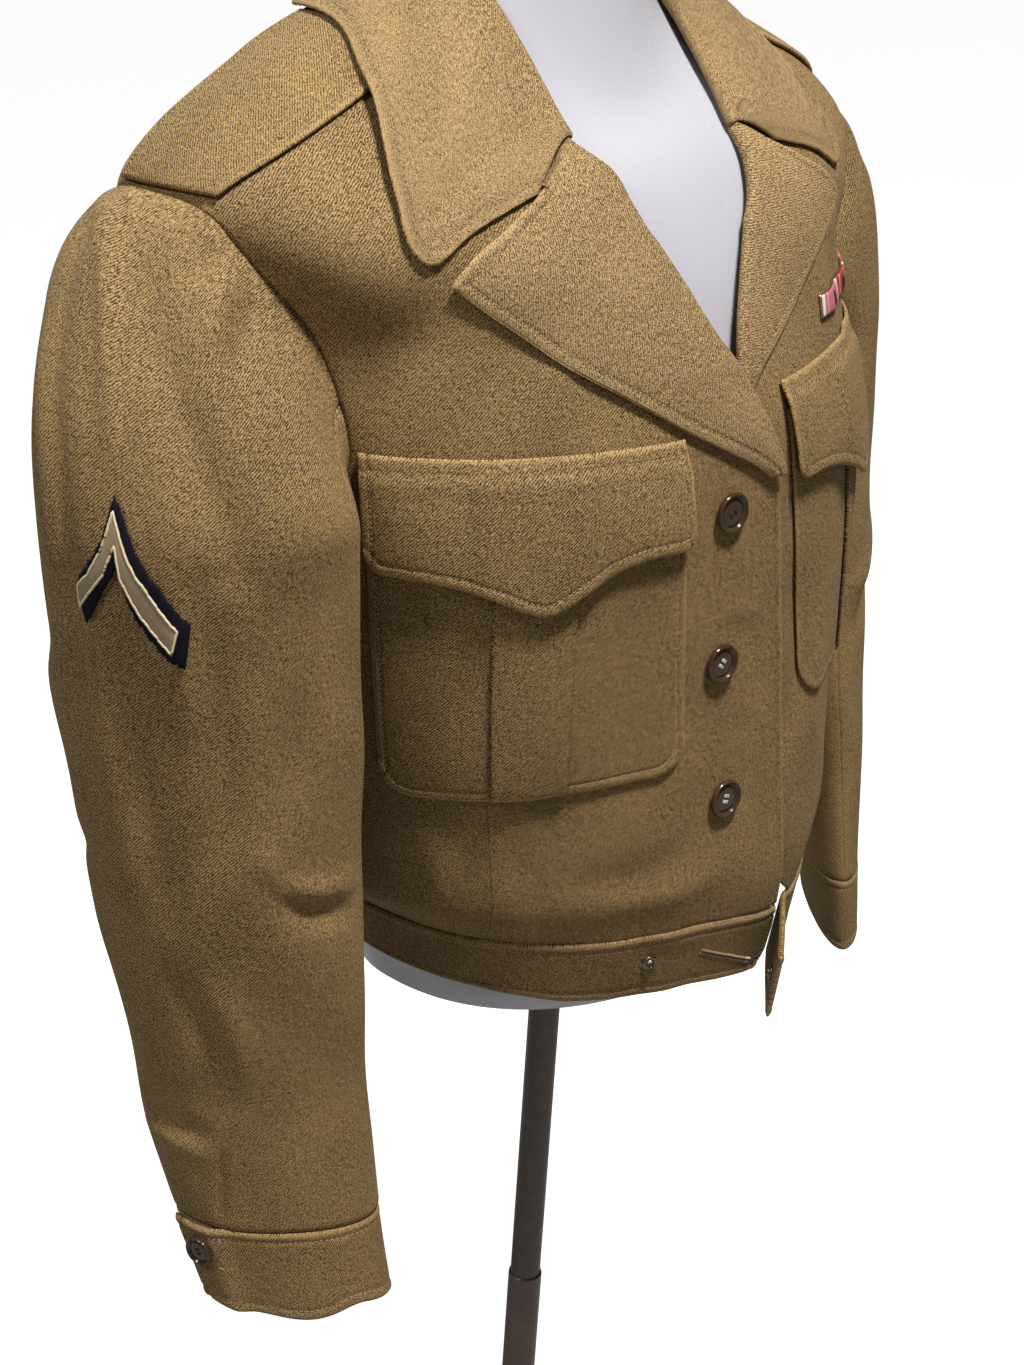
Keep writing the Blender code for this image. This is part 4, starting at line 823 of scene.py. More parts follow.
def collarSection(row):
    # inside of the stand, the fold over, then the fall
    seamAngle, seamLevel, stand, lean, edgeAngle, edgeLevel, edgeOut = row
    seam = bodyPoint(-seamAngle, seamLevel, 0)
    normal = unit(bodyPoint(-seamAngle, seamLevel, 1) - seam)
    across = bodySkin(-seamAngle + 4.0, seamLevel) - bodySkin(-seamAngle, seamLevel)
    upward = bodySkin(-seamAngle, seamLevel) - bodySkin(-seamAngle, seamLevel - 0.3)
    toCentre = max(0.0, 1 - (seamAngle - 20.0) / 40.0)
    levelWay = unit(unit(upward) * (1 - 0.7 * toCentre) + unit(across) * toCentre)
    rising = unit(levelWay * (1 - lean) + upright * lean)
    outward = unit(normal - rising * np.dot(normal, rising))
    clear = 0.8 + 2.3 * lean + (jacket["wool"] + jacket["gap"]) * max(0.0, float(np.dot(normal, rising)))
    radius, leaf = lapels["turnRadius"], jacket["leaf"]
    centre = seam + rising * (stand + clear) + outward * (radius - 0.4)
    edge = bodyPoint(-edgeAngle, edgeLevel, edgeOut)
    edgeNormal = unit(bodyPoint(-edgeAngle, edgeLevel, 1) - bodySkin(-edgeAngle, edgeLevel))
    share = np.linspace(0, 0.8, 7)[:, None]
    start = seam + rising * (clear + stand * share)
    way = rising * np.cos(turnSteps)[:, None] + outward * np.sin(turnSteps)[:, None]
    top = centre + way[-1] * radius
    reach = np.linalg.norm(edge - top)
    flat = unit(edge - bodyPoint(-edgeAngle, edgeLevel + 0.25, edgeOut))
    t = fallShares[:, None]
    fall = (top * (1 + 2 * t) * (1 - t) ** 2 - rising * reach * 0.55 * t * (1 - t) ** 2
            + edge * t * t * (3 - 2 * t) + flat * reach * 0.8 * t * t * (t - 1))
    fall = fall + edgeNormal * collarParts["bulge"] * np.sin(np.pi * t)
    outer = np.concatenate([start - outward * 0.4, centre + way * radius, fall])
    inner = np.concatenate([start + outward * (leaf - 0.4), centre + way * (radius - leaf),
                            fall - unit(outward * (1 - t) + edgeNormal * t) * leaf])
    return outer, inner


def makeCollar():
    sections = {side: [collarSection(row) for row in spread(collarParts[side], collarParts["rows"])]
                for side in (right, left)}
    flip = np.array([-1.0, 1.0, 1.0])
    face, below = (np.array([section[layer] for section in sections[right]]
                            + [section[layer] * flip for section in sections[left][-2::-1]]) for layer in (0, 1))
    grain = gridGrain(face)[..., [1, 0, 2]] * (1, -1, 1)
    return clothPiece("collar", face, face - below, jacket["leaf"], leafSergeWithPaintedLight, (),
                      collarParts["wave"], [("end", sewing["inset"])], grain)


collar = makeCollar()
print("lapels and collar are made")

# pockets, pleats and flaps, as arc and height on a front
pockets = {
    "inner": 40.0, "outer": 213.0, "top": 329.0, "bottom": 154.0, "corner": 20.0, "belly": 4.0,
    "pleatBottom": (110.0, 151.0), "pleatTop": (102.0, 145.0), "leftRise": 13.0, "leftSlant": 0.13, "wave": 0.9,
    "flapInner": 345.0, "flapOuter": 351.0, "flapStitch": 6.0, "flapInset": 7.8, "flapStand": 3.5,
    "flapThick": 0.4, "pleatClear": 0.35,
    "flapEdge": [(38.5, 296.0), (41.0, 290.5), (47.0, 288.5), (58.0, 289.0), (71.0, 288.0), (85.0, 284.5),
                 (99.0, 278.5), (111.0, 271.5), (121.5, 267.5), (133.0, 271.5), (146.0, 278.5), (160.0, 283.5),
                 (178.0, 288.0), (193.0, 290.0), (205.0, 292.0), (212.0, 300.0)],
}


def pocketPlace(side, arc, height):
    if side == right:
        return arc, height
    slant = pockets["leftSlant"] * (345.0 - height)
    return arc + 2.0 + slant * (1 - 0.6 * (arc - pockets["inner"]) / 177.0), height + pockets["leftRise"]


def belly(arc, height):
    across = np.clip((arc - pockets["inner"]) / (pockets["outer"] - pockets["inner"]), 0, 1)
    upward = np.clip((height - pockets["bottom"]) / (pockets["top"] - pockets["bottom"]), 0, 1)
    return pockets["belly"] * np.sin(np.pi * across) ** 0.7 * np.sin(np.pi * upward ** 0.8) ** 0.7


def laidPiece(side, name, arc, height, low, thickness, edges):
    spot = pocketPlace(side, arc, height)
    face = onFront(side, *spot, low + thickness)
    grain = np.stack([side * spot[0], spot[1], 0 * arc], -1)
    return clothPiece(name, face, face - onFront(side, *spot, low), thickness, serge,
                      foldsOn[side], pockets["wave"], edges, grain)


def makePocket(side, word):
    across = (pockets["outer"] - pockets["inner"]) * steps(176, 3.2, near=True, far=True)
    upward = steps(175, 3.4, near=True)[:, None]
    arc = np.repeat((pockets["inner"] + across)[None], len(upward), axis=0)
    reach = np.minimum(arc - pockets["inner"], pockets["outer"] - arc)
    into = np.clip(pockets["corner"] - reach, 0, pockets["corner"])
    bottom = pockets["bottom"] + pockets["corner"] - np.sqrt(pockets["corner"] ** 2 - into ** 2 * 0.98)
    height = bottom + (pockets["top"] - bottom) * upward
    low = jacket["laid"] + belly(arc, height)
    inset = sewing["inset"]
    laidPiece(side, "pocket_" + word, arc, height, low, jacket["wool"],
              [("low", inset), ("start", inset), ("end", inset)])
    height = np.linspace(pockets["bottom"] + 1.0, pockets["top"], 52)[:, None]
    share = (height - pockets["bottom"]) / (pockets["top"] - pockets["bottom"])
    start, end = (low + (high - low) * share for low, high in zip(pockets["pleatBottom"], pockets["pleatTop"]))
    arc = start + (end - start) * steps(42, 2.4, near=True, far=True)
    height = np.repeat(height, arc.shape[1], axis=1)
    low = jacket["laid"] + belly(arc, height) + jacket["wool"] + pockets["pleatClear"]
    # the -1 insets paint a shadow line along both sides of the pleat
    laidPiece(side, "pocket_pleat_" + word, arc, height, low, jacket["wool"],
              [("low", inset), ("start", -1), ("end", -1)])


def makeFlap(side, word):
    edge = spread(pockets["flapEdge"], 110)
    arcs, edgeHeight = edge.T
    share = (arcs - arcs[0]) / (arcs[-1] - arcs[0])
    top = pockets["flapInner"] + (pockets["flapOuter"] - pockets["flapInner"]) * share
    drop = steps(72, 2.6, near=True, far=True)[:, None]
    height = top + (edgeHeight - top) * drop
    arc = np.repeat(arcs[None], len(drop), axis=0)
    overBag = ease((top - height) / 15.0)
    overPleat = ease((arc - 88.0) / 12.0) * ease((160.0 - arc) / 12.0)
    stand = pockets["flapStand"] * ease((top - height) / (top - edgeHeight + 4.0))
    bag = belly(arc, height) + jacket["wool"] + 0.4 + overPleat * (jacket["wool"] + 0.7)
    low = jacket["laid"] + stand + overBag * bag
    inset = sewing["inset"]
    return laidPiece(side, "flap_" + word, arc, height, low, jacket["wool"] + pockets["flapThick"],
                     [("low", pockets["flapInset"]), ("high", pockets["flapStitch"]), ("start", inset),
                      ("end", inset)])


flaps = {}
for side, word in ((right, "right"), (left, "left")):
    makePocket(side, word)
    flaps[side] = makeFlap(side, word)
print("pockets and flaps are made")

# shoulder straps: level frontAngle backAngle
straps = {"rows": [(8.06, 73.5, 97.0), (8.40, 66.0, 98.0), (8.80, 61.5, 99.0), (9.15, 60.5, 101.0),
                   (9.44, 66.0, 102.0)], "thickness": 3.2, "off": 0.9, "wave": 0.6, "inset": 5.0,
          "crossLevel": 8.42, "crossBow": 0.10}


def makeStrap(side, word):
    rows = spread(straps["rows"], 56)
    share = steps(90, 2.4, near=True, far=True)
    angles = side * (rows[:, 1:2] * (1 - share) + rows[:, 2:3] * share)
    levels = np.repeat(rows[:, :1], len(share), axis=1)
    low = jacket["wool"] + straps["off"]
    face = bodyPoint(angles, levels, low + straps["thickness"])
    grain = gridGrain(face)[..., [1, 0, 2]]
    inset = straps["inset"]
    clothPiece("shoulder_strap_" + word, face, face - bodyPoint(angles, levels, low), straps["thickness"],
               serge, (), straps["wave"], [("start", inset), ("end", inset)], grain)
    across = np.linspace(0.12, 0.92, 40)
    bow = straps["crossLevel"] - straps["crossBow"] * np.sin(np.pi * across)
    line = side * (np.interp(bow, rows[:, 0], rows[:, 1]) * (1 - across)
                   + np.interp(bow, rows[:, 0], rows[:, 2]) * across)
    points = bodyPoint(line, bow, low + straps["thickness"])
    lifted = bodyPoint(line, bow, low + straps["thickness"] + 1)
    normals = unit(lifted - points)
    sew(points + normals * unevenness(points, straps["wave"])[..., None], normals)


for side, word in ((right, "right"), (left, "left")):
    makeStrap(side, word)

# sleeves: rings from the armpit to the cuff, as z fromMiddle y longHalf shortHalf twist
sleeves = {
    right: np.array([(320, 260, -31, 83, 50, 45), (250, 261, -26, 82, 47, 45), (180, 262, -25, 79, 43.5, 44),
                     (110, 263, -26, 74, 39.5, 43), (40, 262, -28, 68.5, 35, 42), (-20, 262, -28, 66, 33, 41),
                     (-86, 262, -38, 60, 30, 40), (-135, 262, -53, 55, 28, 40)], float),
    left: np.array([(320, 264, 24, 84, 42, 25), (250, 261, 20, 84, 40, 28), (180, 261, 14, 80, 36, 32),
                    (110, 259, 6, 76, 31, 35), (40, 255, -4, 72, 26, 37), (-10, 250, -13, 69, 22, 38),
                    (-50, 245, -20, 67, 19, 38), (-98, 239, -28, 64, 16, 38)], float),
    "setIn": 0.2, "headRows": 54, "armRows": 118, "frontSeam": 128.0, "backSeam": 247.0, "cuffRow": 6,
    "wave": 1.2, "gap": 0.2, "foldDepth": 1.5, "topColumns": 112, "underColumns": 40, "rounding": 0.34,
    "tuck": ((2.6, 3.6), (1.2, 1.6)),
}
# depth width, then the way as (turn, row): the first ones lie as on the near sleeve
sleeveFolds = {
    right: [
        (-3.6, 13, [(19, -0.81), (36, -0.62), (48, -0.46), (56, -0.30), (62, -0.10), (66, 0.15)]),
        (-2.6, 7, [(62, -0.95), (59, -0.90), (52, -0.80)]),
        (-2.6, 8, [(81, -0.84), (78, -0.72), (74, -0.60)]),
        (2.4, 8, [(70, -0.90), (66, -0.78), (62, -0.62)]),
        (1.7, 5.0, [(-20, -0.95), (2, -0.82), (15, -0.64), (21, -0.44), (24, -0.27)]),
        (-2.0, 9, [(-8, -0.85), (-4, -0.45), (0, 0.40), (2, 1.30)]),
        (1.5, 8, [(40, -0.20), (43, 0.50), (44, 1.40), (40, 2.10)]),
        (-2.2, 10, [(52, 0.10), (55, 0.80), (56, 1.60), (50, 2.30)]),
        (1.6, 9, [(6, 0.70), (9, 1.60), (8, 2.60)]),
        (-1.6, 9, [(20, 1.20), (24, 2.00), (24, 2.90)]),
        (-1.8, 8, [(-34, -0.60), (-30, -0.10), (-28, 0.80)]),
        (2.4, 7, [(66, 2.30), (76, 2.62), (92, 2.70), (110, 2.74)]),
        (-2.6, 8, [(72, 2.52), (82, 2.84), (98, 2.92), (112, 2.96)]),
        (-2.6, 9, [(20, 3.40), (27, 3.77), (32, 4.17), (27, 4.76)]),
        (1.8, 8, [(40, 3.50), (45, 3.95), (44, 4.50)]),
        (-2.2, 6, [(-22, 4.92), (0, 4.96), (21, 5.04)]),
        (1.8, 6, [(-24, 5.14), (-4, 5.18), (18, 5.26)]),
        (-1.6, 2.6, [(29, 5.20), (23, 5.55), (16, 5.95)]),
        (-2.0, 15, [(87, 1.08), (81, 1.55), (76, 2.05)]),
        (-1.8, 12, [(110, 0.10), (113, 0.74), (116, 1.38)]),
        (2.0, 14, [(70, 1.10), (64, 1.90), (58, 2.60)]),
        (-2.4, 12, [(-60, 0.20), (-48, 0.60), (-36, 0.80)]),
        (-2.2, 10, [(-70, 2.10), (-50, 2.35), (-30, 2.40)]),
        (-2.0, 10, [(190, 0.10), (176, 0.60), (160, 0.90)]),
        (-2.0, 9, [(200, 2.20), (184, 2.45), (166, 2.50)]),
    ],
    left: [
        (-2.4, 14, [(24, -0.80), (44, -0.55), (58, -0.20)]),
        (-2.0, 8, [(70, -0.92), (64, -0.80), (58, -0.66)]),
        (-2.4, 10, [(60, 2.2), (80, 2.6), (104, 2.7)]),
        (2.0, 9, [(64, 1.8), (84, 2.2), (108, 2.3)]),
        (-2.0, 9, [(20, 3.4), (30, 4.0), (26, 4.7)]),
        (-1.8, 7, [(-22, 4.9), (0, 5.0), (20, 5.1)]),
        (1.0, 3.6, [(0, -0.9), (2, -0.6), (3, -0.3)]),
        (-2.4, 12, [(-60, 0.3), (-46, 0.7), (-30, 0.9)]),
        (-2.2, 10, [(-76, 2.3), (-52, 2.5), (-30, 2.6)]),
        (-2.0, 10, [(196, 0.2), (180, 0.7), (162, 0.9)]),
        (-2.0, 9, [(204, 2.4), (186, 2.6), (166, 2.7)]),
    ],
}


def sleeveRing(side, turn, row, out=0.0):
    z, x, y, longHalf, shortHalf, twist = np.moveaxis(smoothRows(sleeves[side], row), -1, 0)
    swing = np.radians(90.0 + turn - twist)
    twist = np.radians(twist)
    along, across = (longHalf + out) * np.cos(swing), (shortHalf + out) * np.sin(swing)
    px = x + along * np.sin(twist) + across * np.cos(twist)
    py = y + along * np.cos(twist) - across * np.sin(twist)
    return np.stack([side * px, py, z + 0 * px], -1)


def sleevePoint(side, turn, row):
    # rows below 0 are the head, -1 is the armhole
    turn = turn % 360
    angle, level = armhole(turn)
    edge = bodyPoint(side * angle, level, jacket["wool"])
    start = edge + unit(bodyPoint(side * 90.0, 7.0, jacket["wool"]) - edge) * sleeves["setIn"]
    end = sleeveRing(side, turn, np.zeros(turn.shape))
    reach = np.linalg.norm(end - start, axis=-1, keepdims=True)
    swing = np.radians(turn)
    leave = unit(np.stack([np.full(turn.shape, side * 0.85), -0.42 * np.sin(swing),
                           0.34 * np.cos(swing) - 0.56], -1)) * reach * 0.9
    arrive = unit(sleeveRing(side, turn, np.full(turn.shape, 0.1)) - end) * reach * 0.9
    t = np.clip(row + 1, 0, 1)[..., None]
    head = (start * (1 + 2 * t) * (1 - t) ** 2 + leave * t * (1 - t) ** 2
            + end * t * t * (3 - 2 * t) + arrive * t * t * (t - 1))
    return np.where(row[..., None] < 0, head, sleeveRing(side, turn, np.maximum(row, 0)))


def sleeveFace(side, turns, rows):
    turns, rows = np.broadcast_arrays(np.asarray(turns, float), np.asarray(rows, float))
    grid = sleevePoint(side, turns, rows)
    around = sleevePoint(side, turns + 1, rows) - sleevePoint(side, turns - 1, rows)
    down = sleevePoint(side, turns, rows + 0.02) - grid
    return grid, side * unit(np.cross(around, down))


def sleeveWays(side):
    ways = []
    for depth, width, places in sleeveFolds[side]:
        turn, row = spread(places, foldSteps).T
        ways.append((sleeveFace(side, turn, row)[0], depth * sleeves["foldDepth"], width))
    return ways


sleeveWay = {side: sleeveWays(side) for side in (right, left)}


def sleeveGrain(side, turns, points):
    return np.stack([np.radians(turns) * 68.0 * -side, points[..., 2], 0 * turns], -1)


def makeSleeve(side, word):
    rows = np.concatenate([np.linspace(-1, 0, sleeves["headRows"])[:-1],
                           np.linspace(0, sleeves["cuffRow"] - 0.01, sleeves["armRows"])])
    front, back, gap = sleeves["frontSeam"], sleeves["backSeam"], sleeves["gap"]
    for name, first, last, columns in (
            ("top_sleeve_", back - 360 + gap, front - gap, sleeves["topColumns"]),
            ("under_sleeve_", front + gap, back - gap, sleeves["underColumns"])):
        turns, level = np.meshgrid(np.linspace(first, last, columns), rows)
        face, away = sleeveFace(side, turns, level)
        # the first rows go in under the body's edge
        inward = unit(-face[0] * (1, 1, 0))
        under = [face[0] - unit(face[3] - face[0]) * reach + inward * drop for reach, drop in sleeves["tuck"]]
        face = np.concatenate([np.array(under), face])
        away = np.concatenate([away[:1], away[:1], away])
        turns = np.concatenate([turns[:2], turns])
        clothPiece(name + word, face, away, jacket["wool"], serge, sleeveWay[side], sleeves["wave"],
                   (), sleeveGrain(side, turns, face), sleeves["rounding"])


cuffs = {"endTurn": -24.0, "lap": 30.0, "button": (-2.0, 6.25), "buttonScale": 0.8, "inset": 5.5, "wave": 0.5,
         "height": 50, "around": 430,
         "dips": [(8.0, -2.0, 16.0), (52.0, -5.0, 26.0), (86.0, 3.0, 16.0), (150.0, -3.0, 30.0),
                  (230.0, 3.0, 30.0)]}


def makeCuff(side, word):
    turns = cuffs["endTurn"] + (360 + cuffs["lap"]) * steps(cuffs["around"], 3.4, near=True)
    lap = jacket["band"] + 0.4
    raised = lap * ease((cuffs["endTurn"] + cuffs["lap"] + 14.0 - turns) / 14.0)
    rows = sleeves["cuffRow"] + 0.01 + 0.99 * steps(cuffs["height"], 2.8, near=True, far=True)
    raised = np.repeat(raised[None], len(rows), axis=0)
    turns, level = np.meshgrid(turns, rows)
    face = sleeveRing(side, turns, level, raised)
    below = sleeveRing(side, turns, level, raised - jacket["band"])
    hem = ease((level - sleeves["cuffRow"] - 0.35) / 0.65)
    for turn, dip, width in cuffs["dips"]:
        face[..., 2] += hem * dip * np.exp(-((turns - turn) / width) ** 2)
    inset = cuffs["inset"]
    return clothPiece("cuff_" + word, face, face - below, jacket["band"], bandSerge, (), cuffs["wave"],
                      [("low", inset), ("high", inset), ("start", inset)], sleeveGrain(side, turns, face))


cuffPieces = {}
for side, word in ((right, "right"), (left, "left")):
    makeSleeve(side, word)
    cuffPieces[side] = makeCuff(side, word)
print("sleeves and cuffs are made")

# chevrons: each edge as (turn, row) from the back end over the apex to the front end
chevrons = {
    "patch": {"upper": [(3.8, 0.162), (8.0, -0.005), (13.5, -0.131), (17.8, -0.253), (21.2, -0.403), (23.6, -0.515),
                        (25.6, -0.442), (27.4, -0.34), (30.6, -0.165), (36.6, 0.068), (42.4, 0.288), (48.0, 0.440)],
              "lower": [(7.8, 0.458), (11.0, 0.39), (14.2, 0.29), (17.2, 0.18), (20.0, 0.06), (22.6, -0.063),
                        (23.9, 0.05), (27.2, 0.314), (31.6, 0.47), (35.8, 0.58), (40.0, 0.664), (45.6, 0.722)]},
    "stripe": {"upper": [(5.2, 0.162), (10.6, 0.02), (13.8, -0.073), (17.6, -0.18), (21.0, -0.32), (23.2, -0.423),
                         (24.8, -0.301), (27.0, -0.156), (31.5, 0.050), (35.6, 0.23), (39.6, 0.355), (43.8, 0.462)],
               "lower": [(5.8, 0.334), (9.6, 0.245), (13.2, 0.15), (16.6, 0.035), (20.0, -0.10), (23.2, -0.214),
                         (23.8, -0.107), (25.3, 0.072), (29.8, 0.312), (33.6, 0.43), (37.6, 0.53), (41.5, 0.614)]},
    "laid": 1.1, "patchThick": 1.6, "stripeThick": 0.9, "cord": 0.72, "headRow": 2.43, "fray": 0.35,
    "stripeFray": 0.25, "patchRows": 14, "stripeRows": 9, "slot": "navy_wool_patch",
}


def feltCloth(name, colour, deep, scale):
    material, shader = newMaterial(name, colour, 0.95)
    vector = grainVector(material)
    fibres = noiseNode(material, vector, scale, 4.0, 0.7)
    link(material, mixNode(material, fibres, deep, colour), shader.inputs["Base Color"])
    link(material, bumpNode(material, fibres, 0.7, 0.0005), shader.inputs["Normal"])
    shader.inputs["Specular IOR Level"].default_value = 0.1
    return material


def satinStitch(name, colour, deep):
    # close rows of thread, seen as fine ribs
    material, shader = newMaterial(name, colour, 0.55)
    vector = grainVector(material)
    wave = material.node_tree.nodes.new("ShaderNodeTexWave")
    wave.inputs["Scale"].default_value = 0.42
    wave.inputs["Distortion"].default_value = 2.5
    link(material, vector, wave.inputs["Vector"])
    fleck = noiseNode(material, vector, 1.4, 3.0, 0.7)
    mixed = mathNode(material, "MULTIPLY", mathNode(material, "ADD", wave.outputs["Fac"], fleck), 0.55, clamp=True)
    link(material, mixNode(material, mixed, deep, colour), shader.inputs["Base Color"])
    link(material, bumpNode(material, mixed, 0.6, 0.0004), shader.inputs["Normal"])
    return material


navyFelt = feltCloth("navy wool patch", (0.013, 0.011, 0.019), (0.004, 0.0035, 0.007), 0.9)
khakiSatin = satinStitch("khaki satin stitch", (0.46, 0.33, 0.20), (0.12, 0.075, 0.04))
creamThread = satinStitch("cream thread", (0.86, 0.74, 0.47), (0.46, 0.36, 0.20))


def chevronGrid(side, edges, rows, fray=0.0):
    # the second number counts rows of the arm, also above it in the head
    lines = []
    for name in ("lower", "upper"):
        table = np.array(edges[name], float)
        lines.append(np.concatenate([spread(table[:6], 46)[:-1], spread(table[5:], 56)]))
    low, high = lines
    shake = np.sin(np.arange(len(low)) * 1.9) + np.sin(np.arange(len(low)) * 0.83 + 1.0)
    middle = (low + high) / 2
    low = low + (low - middle) * (shake * fray * 0.10)[:, None]
    high = high + (high - middle) * (np.roll(shake, 7) * fray * 0.10)[:, None]
    line = np.linspace(0, 1, rows)[:, None, None]
    both = low[None] * (1 - line) + high[None] * line
    row = both[..., 1]
    row = np.where(row < 0, row / chevrons["headRow"], row)
    face, away = sleeveFace(side, both[..., 0], row)
    return face + away * foldLift(face, sleeveWay[side], sleeves["wave"])[..., None], away


def makeChevron(side, word):
    def bulge(rows, power):
        return np.abs(np.sin(np.pi * np.linspace(0, 1, rows)))[:, None, None] ** power

    face, away = chevronGrid(side, chevrons["patch"], chevrons["patchRows"], chevrons["fray"])
    low, slot = chevrons["laid"], chevrons["slot"]
    top = face + away * (low + chevrons["patchThick"])
    top = top - away * chevrons["patchThick"] * 0.55 * (1 - bulge(len(face), 0.35))
    name = "chevron_" + word
    place(name, shellMesh(name, top, face + away * low, gridGrain(face)), navyFelt, (name,))
    face, away = chevronGrid(side, chevrons["stripe"], chevrons["stripeRows"], chevrons["stripeFray"])
    base = low + chevrons["patchThick"] - 0.15
    top = face + away * (base + chevrons["stripeThick"] * (0.3 + 0.7 * bulge(len(face), 0.5)))
    name = "chevron_stripe_" + word
    place(name, shellMesh(name, top, face + away * (base - 0.2), gridGrain(face)), khakiSatin)
    loop, normals = (np.concatenate([grid[0], grid[1:-1, -1], grid[-1, ::-1], grid[-2:0:-1, 0], grid[:1, 0]])
                     for grid in (face, away))
    tube("chevron_edge_" + word, loop + normals * (base + 0.45), chevrons["cord"], creamThread, 6)


def tube(name, points, radius, material, sides):
    points = np.asarray(points, float)
    along = unit(np.gradient(points, axis=0))
    reference = np.where(np.abs(along[:, 2:3]) > 0.9, np.array([1.0, 0, 0]), upright)
    first = unit(np.cross(along, reference))
    second = np.cross(along, first)
    swing = np.linspace(0, 2 * np.pi, sides, endpoint=False)
    rings = points[:, None] + radius * (
        first[:, None] * np.cos(swing)[:, None] + second[:, None] * np.sin(swing)[:, None])
    index = np.arange(len(points) * sides).reshape(-1, sides)
    a, b = index[:-1], np.roll(index[:-1], -1, axis=1)
    c, d = index[1:], np.roll(index[1:], -1, axis=1)
    faces = [tuple(f) for f in np.stack([a, c, d, b], -1).reshape(-1, 4)]
    faces += [tuple(index[0]), tuple(index[-1][::-1])]
    lengths = np.concatenate([[0], np.cumsum(np.linalg.norm(np.diff(points, axis=0), axis=-1))])
    grain = np.stack([np.repeat(lengths, sides), np.tile(swing * 2, len(points)), np.zeros(len(points) * sides)],
                     -1)
    return place(name, meshOf(name, rings.reshape(-1, 3), faces, grain), material)


for side, word in ((right, "right"), (left, "left")):
    makeChevron(side, word)

# ribbon bar
ribbons = {"arc": (98.0, 196.0), "height": (377.0, 389.0), "count": 3, "clasp": 3.4,
           "frame": 1.2, "step": 0.9, "inset": 0.3, "crown": 0.55}


def stripedRibbon(name, middle, edge, lines):
    # stripes run up the ribbon; the grain counts from the ribbon's own left edge
    material, shader = newMaterial(name, middle, 0.6)
    vector = grainVector(material)
    split = material.node_tree.nodes.new("ShaderNodeSeparateXYZ")
    link(material, vector, split.inputs[0])
    u = split.outputs["X"]
    base = middle
    for low, high, colour in [(-1, 2.0, edge), (29.6, 40, edge), *lines]:
        inside = mathNode(material, "MULTIPLY", mathNode(material, "GREATER_THAN", u, low),
                          mathNode(material, "LESS_THAN", u, high))
        base = mixNode(material, inside, base, colour)
    threads = noiseNode(material, vector, 2.2, 2.0)
    base = mixNode(material, mathNode(material, "MULTIPLY", threads, 0.35), base, (0.05, 0.01, 0.02))
    link(material, base, shader.inputs["Base Color"])
    link(material, bumpNode(material, threads, 0.4, 0.0002), shader.inputs["Normal"])
    return material


def metalFinish(name, colour, roughness, wear):
    material, shader = newMaterial(name, colour, roughness, 1.0)
    vector = objectVector(material)
    cloud = noiseNode(material, vector, 160, 4.0, 0.65)
    link(material, mixNode(material, cloud, wear, colour), shader.inputs["Base Color"])
    rough = mathNode(material, "ADD", mathNode(material, "MULTIPLY", cloud, 0.25), roughness - 0.1, clamp=True)
    link(material, rough, shader.inputs["Roughness"])
    link(material, bumpNode(material, cloud, 0.12, 0.0002), shader.inputs["Normal"])
    return material


bronze = metalFinish("bronze clasp", (0.32, 0.20, 0.10), 0.38, (0.14, 0.08, 0.04))
gilt = metalFinish("gilt frame", (0.62, 0.50, 0.28), 0.35, (0.34, 0.25, 0.13))
plated = metalFinish("plated metal", (0.26, 0.21, 0.15), 0.34, (0.10, 0.08, 0.055))
ribbonCloths = [
    stripedRibbon("ribbon rose", (0.54, 0.15, 0.19), (0.78, 0.70, 0.64),
                  [(5.0, 6.0, (0.70, 0.42, 0.42)), (25.6, 26.6, (0.70, 0.42, 0.42))]),
    stripedRibbon("ribbon red", (0.44, 0.035, 0.05), (0.80, 0.76, 0.72),
                  [(9.0, 10.0, (0.72, 0.50, 0.48)), (21.4, 22.4, (0.72, 0.50, 0.48))]),
    stripedRibbon("ribbon crimson", (0.50, 0.06, 0.10), (0.80, 0.76, 0.72), [(12.0, 19.4, (0.66, 0.26, 0.30))]),
]


def barLayer(arcEnds, heightEnds, out, columns, rows):
    # a patch over the bar's place, its out way, and its arcs and heights
    arcs, heights = np.meshgrid(np.linspace(*arcEnds, columns), np.linspace(*heightEnds, rows))
    face = onFront(left, arcs, heights, jacket["laid"] + out)
    return face, unit(face - onFront(left, arcs, heights, jacket["laid"])), arcs, heights


def barPiece(name, face, below, lifted, normal, grain, material, nodes=()):
    # the cloth below lifts both faces alike
    lift = foldLift(lifted, foldsOn[left], panels["wave"])[..., None] * normal
    place(name, shellMesh(name, face + lift, below + lift, grain), material, nodes)


